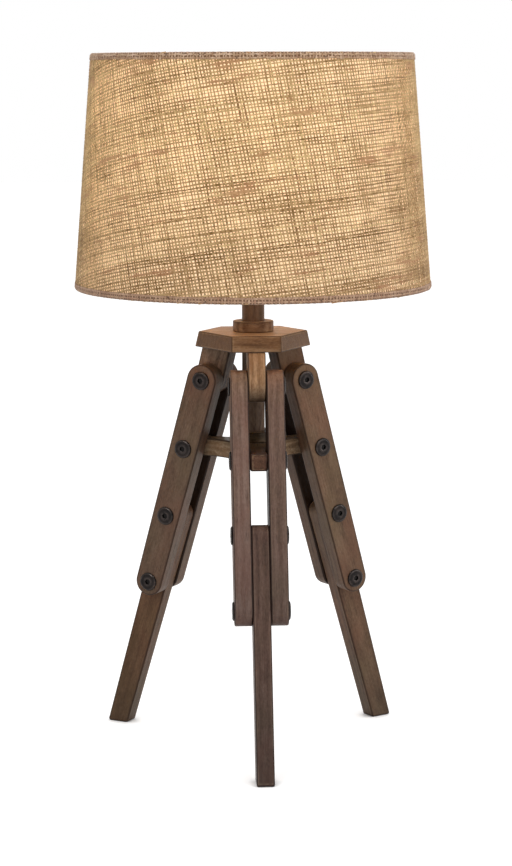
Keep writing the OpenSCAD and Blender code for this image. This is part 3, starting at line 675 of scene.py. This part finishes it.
for node, made in frame["nodes"].items():
    if not made.hide_render and slot_of[node] in finishes:
        made.data.materials.clear()
        made.data.materials.append(finishes[slot_of[node]])
        made.data.shade_smooth()
        made.data.set_sharp_from_angle(angle=radians(32))

# ---------- bulb ----------

BULB_R, NECK_R, NECK_H, NECK_ROUND, GLASS = 30, 13.6, 8, 3.5, 0.9
bulb = Look("lit_frosted_glass", Roughness=0.42, IOR=1.45, Coat_Weight=0.2, Emission_Strength=10.0)
height = bulb.parts(bulb.object)[2]
core = bulb.span(height, 0.545, 0.6, 0.35, 1.0)
frost = bulb.noise(900, 3)
bulb.out("Base Color", bulb.mix(frost, (0.9, 0.87, 0.8), (0.84, 0.8, 0.71)))
bulb.out("Emission Color", bulb.mix(core, (0.55, 0.34, 0.16), (1.0, 0.77, 0.49)))
bulb.bump(frost, 0.00004, 0.4)
low, high = (v.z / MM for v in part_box("bulb_glass"))
middle = high - BULB_R
glass = [(NECK_R, low, 0), (NECK_R, low + NECK_H, NECK_ROUND)] + arc(0, middle, BULB_R, -30, 90, 24)[:-1]
glass += [(0, high, 0), (0, high - GLASS, 0)] + arc(0, middle, BULB_R - GLASS, 88, -30, 23)
glass += [(NECK_R - GLASS, low + NECK_H, NECK_ROUND), (NECK_R - GLASS, low, 0)]
turned("bulb_envelope", glass, bulb.mat, "bulb_glass", 60)

# ---------- the shade's cloth ----------

HALF = atan(SLOPE)
SIN, COS = sin(HALF), cos(HALF)
APEX = SHADE_Z + SHADE_LOW_R / SLOPE  # where the shade's sides would meet
WEAVE_INSET = 1.3  # from the shade's outline to the middle of the weave
CLOTH_MIDDLE = radians(87.3)  # where the middle of the cloth lies; its seam is on the far side
OVERLAP = 9.0
SKEW, SKEW_MID = 0.072, -2095.0  # how much the yarns lean, and the distance at which they don't
SIDES = (-0.5, 0.0, 0.5)  # a yarn's two edges and its middle, in widths
# each direction's seed, distance between yarns, width and its spread, widening where rusty, slubs for each
# yarn, and its mean height and its rise over the other yarns, in mm
YARNS = {"warp": (11, 3.12, 1.43, 0.12, 0.4, 0.3, 0.12, 0.25),
         "weft": (23, 3.09, 1.45, 0.13, 0.6, 0.6 * 3, 0.3, -0.3)}
WARP_PITCH = YARNS["warp"][1]
# the bake map: the warp's share of its height, and where the weft begins and its share
WEAVE_MAP, TRIM_MAP = (0.5, 0.502, 0.497), (0.6, 0.603, 0.396)


def on_cone(s, phi, inset, h=0.0):
    """Points at slant distance s from the apex and h above the skin whose inset from the outline is given."""
    r = s * SIN - inset + h * COS
    return np.stack([r * np.sin(phi), -r * np.cos(phi), APEX - s * COS + h * SIN], -1)


def field(x, y, cell_x, cell_y, seed):
    """Smooth noise from -1 to 1 over the flat cloth."""
    wide, tall = 211, 197
    table = np.random.default_rng(seed).uniform(-1, 1, (wide, tall))
    total = 0.0
    for octave, share in enumerate((1.0, 0.7, 0.5, 0.3)):
        turn = 0.6 + 1.1 * octave
        p, q = np.asarray(x) / cell_x * 1.9 ** octave, np.asarray(y) / cell_y * 1.9 ** octave
        u = p * cos(turn) - q * sin(turn) + 900.0
        v = p * sin(turn) + q * cos(turn) + 900.0
        i, j = np.floor(u).astype(int), np.floor(v).astype(int)
        a, b = u - i, v - j
        a, b = a * a * (3 - 2 * a), b * b * (3 - 2 * b)
        at = lambda di, dj: table[(i + di) % wide, (j + dj) % tall]
        total = total + share * (at(0, 0) * (1 - a) * (1 - b) + at(1, 0) * a * (1 - b)
                                 + at(0, 1) * (1 - a) * b + at(1, 1) * a * b)
    return total / 1.25


def along(rng, rows, count, reach):
    """One line of smooth noise for each yarn, with unit spread."""
    raw = rng.normal(size=(rows, count + 6 * reach))
    kernel = np.exp(-0.5 * (np.arange(-3 * reach, 3 * reach + 1) / reach) ** 2)
    smooth = np.stack([np.convolve(row, kernel / np.sqrt((kernel ** 2).sum()), "valid") for row in raw])
    return smooth[:, :count]


def ribbons(warp, points, tone, rust, spin, bake_map, flip, keep=None):
    """A direction's yarns as ribbons two faces wide. points holds each yarn's edge, middle and other edge."""
    rows, count = tone.shape
    number = np.arange(rows * count * 3).reshape(rows, count, 3)
    if keep is None:
        keep = np.ones((rows, count - 1), bool)
    quads = np.concatenate([np.stack([number[:, :-1, c], number[:, :-1, c + 1], number[:, 1:, c + 1],
                                      number[:, 1:, c]], -1)[keep] for c in (0, 1)])
    # warp yarns lie side by side in the lower part of the bake map, weft yarns are stacked in the upper part
    warp_share, weft_from, weft_share = bake_map
    place = (np.arange(rows)[:, None, None] + 0.08 + 0.42 * np.arange(3)) / rows + np.zeros((1, count, 1))
    run = np.linspace(0.001, 0.999, count)[None, :, None] + np.zeros((rows, 1, 3))
    uv = np.stack((place, run * warp_share) if warp else (run, weft_from + place * weft_share), -1)
    flat = lambda v: np.broadcast_to(v[..., None], number.shape).ravel()
    return {"points": np.stack(points, 2).reshape(-1, 3), "quads": quads[:, ::-1] if flip else quads,
            "uv": uv.reshape(-1, 2), "tone": flat(tone), "rust": flat(rust), "spin": flat(spin),
            "ridge": np.tile((0.0, 1.0, 0.0), rows * count)}


def weave_yarns(direction):
    """The weave's yarns of one direction, over and under the others, with their widths and colours."""
    warp = direction == "warp"
    seed, own, width, spread, rusty, slubs, middle, rise = YARNS[direction]
    other = YARNS["weft" if warp else "warp"][1]
    rng = np.random.default_rng(seed)
    # the flat cloth is a ring sector; the yarns run past its edges and are cut there
    far = pi * SIN
    s_low, s_high = (APEX - SHADE_Z - 0.9) / COS, (APEX - SHADE_TOP + 1.3) / COS
    x_most, y_least, y_most = s_low * sin(far) + OVERLAP + 16, -s_low, -s_high * cos(far)
    ranges = [(-x_most, x_most), (y_least, y_most)]
    (a0, a1), (b0, b1) = ranges if warp else ranges[::-1]
    i = np.arange(floor(a0 / own), ceil(a1 / own) + 1)
    k = np.arange(2 * floor(b0 / other), 2 * ceil(b1 / other) + 1)
    rows, count = len(i), len(k)
    centre = i[:, None] * own + np.zeros((1, count))
    run = k[None, :] * other / 2 + np.zeros((rows, 1))
    x, y = (centre, run) if warp else (run, centre)
    x = x - SKEW * (y - SKEW_MID)
    # width: a mean for each yarn, thick and thin stretches, and slubs
    width = width * np.exp(spread * rng.normal(size=(rows, 1)) + 0.1 * along(rng, rows, count, 9)
                           + 0.13 * rng.normal(size=(rows, count)))
    rust = np.clip(field(x, y, 36, 6.5, 5) * 1.5 + field(x, y, 90, 30, 6) * 0.9 - 0.85, 0, 1)
    open_patch = field(x, y, 52, 17, 8)
    width *= 1 + rusty * rust - 0.15 * open_patch
    slub = np.zeros_like(width)
    for row in range(rows):
        for _ in range(rng.poisson(slubs)):
            mid, reach = rng.uniform(0, count), rng.uniform(4, 17)
            slub[row] += rng.uniform(0.25, 0.85) * np.exp(-((np.arange(count) - mid) / reach) ** 2)
    slub = np.minimum(slub, 1.0)
    width *= 1 + 0.45 * slub
    width = np.minimum(width, own * 0.93)
    centre = centre + (0.17 * rng.normal(size=(rows, 1)) + 0.2 * along(rng, rows, count, 7)
                       + 0.09 * along(rng, rows, count, 1))
    tone = (0.2 * rng.normal(size=(rows, 1)) + 0.12 * along(rng, rows, count, 6)
            + 0.28 * rng.normal(size=(rows, count)))
    tone = tone - 0.55 * slub + 0.2 * open_patch
    if not warp:
        dark_yarn = rng.uniform(size=(rows, 1)) < 0.16
        tone -= 0.5 * dark_yarn * np.clip(0.6 + 0.5 * along(rng, rows, count, 40), 0, 1)
    # 1 where a yarn is on top at a crossing, -1 where it is below, and 0 between two crossings
    over = np.where((i[:, None] + k // 2) % 2 == 0, 1.0, -1.0) * np.where(k % 2 == 0, 1.0, 0.0)
    points = []
    for side in SIDES:
        p = centre + side * width
        px, py = (p, run) if warp else (run, p)
        px = px - SKEW * (py - SKEW_MID)
        s, theta = np.hypot(px, py), np.arctan2(px, -py)
        lapped = np.clip((theta - far) * s / 1.5 + 1.0, 0, 1)
        sunk = 0.0 if side == 0 else np.minimum(0.38 * width, 0.75)
        h = middle + rise * over + 0.34 * lapped - sunk
        points.append(on_cone(s, CLOTH_MIDDLE + theta / SIN, WEAVE_INSET, h))
    s, theta = np.hypot(x, y), np.arctan2(x, -y)
    inside = (s < s_low) & (s > s_high) & (theta > -far) & (theta < far + OVERLAP / s)
    spin = (np.arange(count) * other / 2)[None, :] + 7.3 * np.arange(rows)[:, None]
    return ribbons(warp, points, tone, np.clip(rust + 0.5 * slub, 0, 1), spin, WEAVE_MAP, not warp,
                   inside[:, :-1] & inside[:, 1:])


def ribbon_piece(name, sets, material, node):
    """One mesh from sets of yarn ribbons, with the yarns' own bake map."""
    starts = np.cumsum([0] + [len(one["points"]) for one in sets])
    quads = np.concatenate([one["quads"] + start for one, start in zip(sets, starts)])
    used, quads = np.unique(quads, return_inverse=True)
    quads = quads.reshape(-1, 4)
    pick = lambda key: np.concatenate([one[key] for one in sets])[used]
    mesh = bpy.data.meshes.new(name)
    mesh.vertices.add(len(used))
    mesh.vertices.foreach_set("co", (pick("points") * MM).astype(np.float32).ravel())
    mesh.loops.add(quads.size)
    mesh.loops.foreach_set("vertex_index", quads.ravel().astype(np.int32))
    mesh.polygons.add(len(quads))
    mesh.polygons.foreach_set("loop_start", np.arange(0, quads.size, 4, dtype=np.int32))
    mesh.update(calc_edges=True)
    for key in ("tone", "rust", "ridge", "spin"):
        mesh.attributes.new(key, "FLOAT", "POINT").data.foreach_set("value", pick(key).astype(np.float32))
    layer = mesh.uv_layers.new(name="OFBake")
    layer.data.foreach_set("uv", pick("uv")[quads.ravel()].astype(np.float32).ravel())
    mesh.shade_smooth()
    return show(name, mesh, material, "shade", node)


def glow(look, low, high):
    """How brightly the bulb lights a point of the shade, from low at the rims to high beside the bulb."""
    x, y, z = look.parts(look.object)
    away = look.value("ABSOLUTE", look.value("SUBTRACT", z, 0.622))
    near = look.value("SUBTRACT", 1.0, look.value("POWER", look.value("DIVIDE", away, 0.165), 1.6))
    # the harp's wires take light from the two sides
    turn = look.value("ARCTAN2", x, look.times(y, -1.0))
    lobes = look.value("COSINE", look.value("MULTIPLY_ADD", turn, 2.0, 0.75))
    side = look.value("MULTIPLY_ADD", lobes, 0.14, 0.86)
    return look.span(look.times(near, side), 0.0, 1.0, low, high)


class Cloth(Look):
    """A look for yarn ribbons, with the fuzz and the twist of their yarns."""

    def __init__(self, name, specular, sheen, fuzz_scale):
        super().__init__(name, Specular_IOR_Level=specular, Sheen_Weight=sheen, Sheen_Roughness=0.5)
        self.tone, self.rust, self.ridge, spin = (self.attribute(k) for k in ("tone", "rust", "ridge", "spin"))
        self.fuzz = self.noise(fuzz_scale, 4, 0.65)
        self.twist = self.value("SINE", self.total((self.ridge, 2.2), (spin, 5.2)))

    def finish(self, colour, rough, relief):
        self.out("Base Color", colour)
        self.out("Roughness", self.span(self.fuzz, 0.3, 0.7, *rough))
        self.bump(self.total((self.twist, 0.5), start=self.fuzz), relief, 0.6)


cloth = Cloth("burlap", 0.22, 0.12, 900)
level = cloth.total((cloth.fuzz, 0.55), (cloth.tone, 0.55), (cloth.twist, 0.05), start=0.22)
straw = cloth.ramp(level, (0.04, (0.146, 0.074, 0.022)), (0.47, (0.352, 0.214, 0.104)),
                   (1.0, (0.57, 0.398, 0.215)))
straw = cloth.mix(cloth.times(cloth.rust, 0.62), straw, (0.35, 0.168, 0.092))
fleck = cloth.span(cloth.noise(520, 2, 0.5), 0.73, 0.77)
straw = cloth.mix(cloth.times(fleck, 0.75), straw, (0.06, 0.034, 0.024))
cloth.finish(straw, (0.78, 0.92), 0.00012)
# the light that comes through the yarns
through = glow(cloth, 0.025, 0.135)
bright = cloth.node("ShaderNodeCombineColor", {0: through, 1: through, 2: through}).outputs[0]
lit_straw = cloth.mix(1.0, straw, (0.92, 1.06, 0.58), "MULTIPLY")
cloth.out("Emission Color", cloth.mix(1.0, lit_straw, bright, "MULTIPLY"))
cloth.bsdf.inputs["Emission Strength"].default_value = 2.6
weave = ribbon_piece("burlap_weave", [weave_yarns("warp"), weave_yarns("weft")], cloth.mat,
                     "shade_cover")

# ---------- trims, seam strip and liner ----------

FOLD_MIDDLE, FOLD_R, FOLD_LEG = 1.6, 1.2, 5.0  # the fold's middle inside the outline, its radius, its legs
FOLD_PATH = 2 * FOLD_LEG + pi * FOLD_R
RINGS, RING_START, RING_PITCH = 5, 0.9, 3.0  # the yarns that run round the rim
TRIM_YARN = 2.12
TRIM_STEPS, RIM_STEPS = 22, 4  # points along a yarn over the fold, and between two of them round the rim


def around(name, profile, steps, material, node=None, span=(0.0, FULL)):
    """A closed band swept round the shade. profile has (inset, height, waviness) points."""
    rng = np.random.default_rng(len(name))
    whole = span[1] - span[0] > 6.28
    phi = span[0] + (span[1] - span[0]) * np.arange(steps + (0 if whole else 1)) / steps
    count, rows = len(phi), len(profile)
    waves = [sum(rng.normal() * 0.5 / sqrt(n) * np.sin(n * phi + rng.uniform(0, 6.28))
                 for n in (9, 17, 31, 53, 88, 131)) for _ in range(2)]
    points = np.zeros((rows, count, 3))
    for r, (inset, z, ripple) in enumerate(profile):
        up = z + ripple * waves[0]
        out = shade_r(up) - inset + 0.1 * waves[1] * (1 if ripple else 0.3)
        points[r] = np.stack([out * np.sin(phi), -out * np.cos(phi), up], -1)
    number = np.arange(rows * count).reshape(rows, count)
    length = [0.0]
    for a, b in zip(profile, profile[1:] + profile[:1]):
        length.append(length[-1] + hypot(a[0] - b[0], a[1] - b[1]))
    scale = 1 / length[-1]
    faces, uvs = [], []
    for r in range(rows):
        here, there = number[r], number[(r + 1) % rows]
        v0, v1 = length[r] * scale, length[r + 1] * scale
        for k in range(count if whole else count - 1):
            n = (k + 1) % count
            faces.append([here[k], here[n], there[n], there[k]])
            uvs += [(k / steps, v0), ((k + 1) / steps, v0), ((k + 1) / steps, v1), (k / steps, v1)]
    mesh = bpy.data.meshes.new(name)
    mesh.from_pydata((points.reshape(-1, 3) * MM).tolist(), [], faces)
    mesh.uv_layers.new(name="OFBake").data.foreach_set("uv", np.array(uvs, np.float32).ravel())
    face_outwards(mesh)
    return show(name, mesh, material, "shade", node)


def tuck(inset, deep):
    """How far the cloth is drawn in near the rim, which rounds off the trim's outer corner."""
    return 0.5 * (FOLD_MIDDLE + FOLD_R - inset) * np.clip(1 - deep / 3.4, 0, 1) ** 2


def fold(rim, into):
    """The cross-section of the trim's inner layer: an outer leg, a round fold over the rim and an inner leg."""
    at = lambda inset, deep, ripple=0.0: (inset + tuck(inset, deep), rim + into * deep, ripple)
    middle, outer, inner = FOLD_MIDDLE, FOLD_R - 0.25, FOLD_R - 0.7
    bend = lambda r, angles: [at(middle - r * cos(a), middle - r * sin(a)) for a in angles]
    rows = [at(middle - outer, 6.1, 0.3), at(middle - outer, 3.6)] + bend(outer, np.linspace(0, pi, 13))
    rows += [at(middle + outer, 3.6), at(middle + outer, 6.2, 0.3), at(middle + inner, 6.2, 0.3)]
    return rows + bend(inner, np.linspace(pi, 0, 9)) + [at(middle - inner, 6.1, 0.3)]


def on_fold(rim, into, t, phi, h):
    """Points h above the trim's fold, at distance t along it from its outer edge."""
    a = np.clip((t - FOLD_LEG) / FOLD_R, 0, pi)
    inset = FOLD_MIDDLE - (FOLD_R + h) * np.cos(a)
    deep = (FOLD_MIDDLE - (FOLD_R + h) * np.sin(a) + np.maximum(FOLD_LEG - t, 0)
            + np.maximum(t - FOLD_PATH + FOLD_LEG, 0))
    z = rim + into * deep
    r = shade_r(z) - inset - tuck(inset, deep)
    return np.stack([r * np.sin(phi), -r * np.cos(phi), z], -1)


def trim_yarns(rim, into, seed):
    """The folded strip of cloth: short warp yarns over the fold, and weft yarns round the rim."""
    rng = np.random.default_rng(seed)
    rim_r = shade_r(rim)
    count = 2 * round(pi * rim_r / WARP_PITCH)
    sets = []
    for warp in (True, False):
        if warp:
            rows, steps = count, TRIM_STEPS
            number = np.arange(rows)[:, None]
            ragged = rng.uniform(-0.8, 1.3, (rows, 2))
            reach = FOLD_PATH - 1.0 + ragged.sum(1)[:, None]
            t = (0.5 - ragged[:, :1]) + reach * np.linspace(0, 1, steps)[None, :]
            phi = number + 0.1 * rng.normal(size=(rows, 1)) + 0.07 * along(rng, rows, steps, 3)
            phi = phi * FULL / count
            over = np.cos(pi * ((t - RING_START) / RING_PITCH + number))
        else:
            rows, steps = RINGS, count * RIM_STEPS + 1
            number = np.arange(rows)[:, None]
            phi = np.linspace(0, FULL, steps)[None, :] + np.zeros((rows, 1))
            drift = sum(rng.normal(size=(rows, 1)) * 0.1 * np.sin(n * phi + rng.uniform(0, 6.28, (rows, 1)))
                        for n in (5, 13, 29, 61, 97))
            t = RING_START + RING_PITCH * number + drift
            over = -np.cos(pi * (phi * count / FULL + number))
        width = TRIM_YARN * np.exp(0.12 * rng.normal(size=(rows, 1)) + 0.1 * along(rng, rows, steps, 4))
        tone = (0.26 * rng.normal(size=(rows, 1)) + 0.22 * along(rng, rows, steps, 5)
                + 0.22 * rng.normal(size=(rows, steps)))
        if not warp:
            width[:, -1], tone[:, -1] = width[:, 0], tone[:, 0]
        points = []
        for side in SIDES:
            across = side * width
            h = 0.08 + 0.16 * over - (0.0 if side == 0 else 0.24 * width)
            points.append(on_fold(rim, into, t, phi + across / rim_r, h) if warp
                          else on_fold(rim, into, t + across, phi, h))
        rust = np.clip(along(rng, rows, steps, 9) - 0.9, 0, 1)
        spin = np.linspace(0, FOLD_PATH if warp else FULL * rim_r, steps)[None, :] + 5.1 * number
        sets.append(ribbons(warp, points, tone, rust, spin, TRIM_MAP, warp == (into > 0)))
    return sets


def trim_look(name, pale, mid, dark):
    """The trim's cloth has another layer behind it, so no light comes through."""
    look = Cloth(name, 0.2, 0.15, 800)
    cloud = look.noise(75, 4, 0.62)
    level = look.total((look.fuzz, 0.9), (look.tone, 0.5), (cloud, 0.7), (look.twist, 0.07))
    colour = look.ramp(look.span(level, 0.3, 1.3), (0.0, dark), (0.5, mid), (1.0, pale))
    colour = look.mix(look.times(look.rust, 0.5), colour, (0.3, 0.14, 0.085))
    fleck = look.span(look.noise(330, 2, 0.5), 0.64, 0.69, 0, 0.75)
    colour = look.mix(fleck, colour, (0.05, 0.028, 0.022))
    # painted shade: the yarns' edges, and the lining and seam tape behind them, which have no ridge, are
    # darkened towards black
    colour = look.mix(look.span(look.ridge, 0.0, 0.35), blend_of(dark, (0, 0, 0), 0.35), colour)
    look.finish(colour, (0.8, 0.93), 0.00015)
    return look.mat


# the two trims' cloth: rim height, way in from the rim, and pale, middle and dark stain
for side, rim, into, tones in (
    ("top", SHADE_TOP, -1, ((0.67, 0.5, 0.38), (0.465, 0.312, 0.2), (0.225, 0.114, 0.055))),
    ("bottom", SHADE_Z, 1, ((0.54, 0.37, 0.255), (0.365, 0.222, 0.142), (0.205, 0.112, 0.066))),
):
    strip = trim_look(f"{side}_trim", *tones)
    trim = ribbon_piece(f"{side}_trim_weave", trim_yarns(rim, into, 31 + into), strip,
                        f"shade_{side}_trim")
    # the lining behind the yarns gets the trim's painted shade
    lining = around(f"{side}_trim_lining", fold(rim, into), 720, strip)

# a tape behind the seam, in the bottom trim's cloth, which paints it dark as shade
seam_at, lap = CLOTH_MIDDLE + pi, OVERLAP / 170
low, high = SHADE_Z + 1.5, SHADE_TOP - 1.5
seam = around("shade_seam_tape", [(1.96, low, 0), (1.96, high, 0), (1.78, high, 0), (1.78, low, 0)], 8, strip,
              span=(seam_at - lap * 0.2, seam_at + lap))

# the liner is a cream laminate, lit by the bulb from inside
lit = Look("lit_liner", Roughness=0.38, Specular_IOR_Level=0.4)
skin = lit.noise(46, 4, 0.6)
lit.out("Base Color", lit.mix(skin, (0.8, 0.68, 0.5), (0.74, 0.61, 0.44)))
cast = lit.times(glow(lit, 0.38, 1.0), lit.span(skin, 0.3, 0.7, 0.92, 1.05))
lit.out("Emission Color", lit.ramp(cast, (0.0, (0.22, 0.11, 0.042)), (0.5, (0.385, 0.21, 0.096)),
                                   (1.0, (0.6, 0.322, 0.153))))
lit.bsdf.inputs["Emission Strength"].default_value = 1.0
lit.bump(lit.noise(700, 3), 0.00003, 0.3)
levels = list(np.linspace(SHADE_Z + 0.9, SHADE_TOP - 0.9, 24))
around("shade_liner_skin", [(2.02, z, 0) for z in levels] + [(2.48, z, 0) for z in levels[::-1]], 256, lit.mat,
       "shade_liner")

# ---------- stage, world and lights ----------


def backdrop_share(tree):
    """1 for rays that see the backdrop itself: camera, glossy and transmission rays."""
    path = tree.nodes.new("ShaderNodeLightPath")
    total = path.outputs["Is Camera Ray"]
    for name in ("Is Glossy Ray", "Is Transmission Ray"):
        most = tree.nodes.new("ShaderNodeMath")
        most.operation = "MAXIMUM"
        tree.links.new(total, most.inputs[0])
        tree.links.new(path.outputs[name], most.inputs[1])
        total = most.outputs[0]
    return total


FLOOR = 12  # half the floor's width, in m
floor_mesh = bpy.data.meshes.new("floor")
square = [(-FLOOR, -FLOOR, 0), (FLOOR, -FLOOR, 0), (FLOOR, FLOOR, 0), (-FLOOR, FLOOR, 0)]
floor_mesh.from_pydata(square, [], [[0, 1, 2, 3]])
add_object("floor", floor_mesh)
ground = Look("pale_floor", Roughness=0.9, Specular_IOR_Level=0.1)
ground.out("Base Color", (0.82, 0.82, 0.82, 1))
ground.out("Emission Color", (1, 1, 1, 1))
far = ground.node("ShaderNodeVectorMath", {0: ground.object}, operation="LENGTH").outputs["Value"]
# a close ambient occlusion keeps the contact shadow of each foot
open_sky = ground.node("ShaderNodeAmbientOcclusion", {"Distance": 0.011}).outputs["AO"]
lit_floor = ground.times(ground.span(far, 0.5, 2.5, 0.44, 0.7), ground.span(open_sky, 0.3, 0.95))
ground.out("Emission Strength", ground.times(backdrop_share(ground.tree), lit_floor))
floor_mesh.materials.append(ground.mat)

world = bpy.data.worlds.new("studio")
bpy.context.scene.world = world
world.use_nodes = True
tree = world.node_tree
sky = tree.nodes["Background"]
sky.inputs["Color"].default_value = (1, 1, 1, 1)
level = tree.nodes.new("ShaderNodeMapRange")
level.inputs["To Min"].default_value, level.inputs["To Max"].default_value = 0.5, 1.0
tree.links.new(backdrop_share(tree), level.inputs["Value"])
tree.links.new(level.outputs[0], sky.inputs["Strength"])


def softbox(name, place, aim_z, size, power, colour=(1, 1, 1)):
    """A soft lamp at a place, aimed at a height on the lamp's axis."""
    light = bpy.data.lights.new(name, "AREA")
    light.shape, light.size, light.size_y = "RECTANGLE", size[0], size[1]
    light.energy, light.color = power, colour
    turn = (Vector(place) - Vector((0, 0, aim_z))).to_track_quat("Z", "Y")
    add_object(name, light).matrix_world = Matrix.Translation(place) @ turn.to_matrix().to_4x4()


softbox("key", (-1.5, -1.9, 1.7), 0.4, (1.5, 1.3), 16.5, (1.0, 0.985, 0.965))
softbox("fill", (1.9, -1.5, 1.1), 0.4, (1.4, 1.4), 15)
softbox("top", (0.1, 0.3, 2.6), 0.3, (1.8, 1.8), 22)
softbox("glint", (0.42, -1.3, 1.35), 0.35, (0.1, 0.1), 2.5)
softbox("left_strip", (-1.3, -1.5, 1.1), 0.35, (0.16, 0.9), 3.5)
softbox("right_strip", (1.8, -0.35, 0.8), 0.3, (0.2, 1.2), 5)

bpy.context.scene.view_settings.view_transform = "Standard"
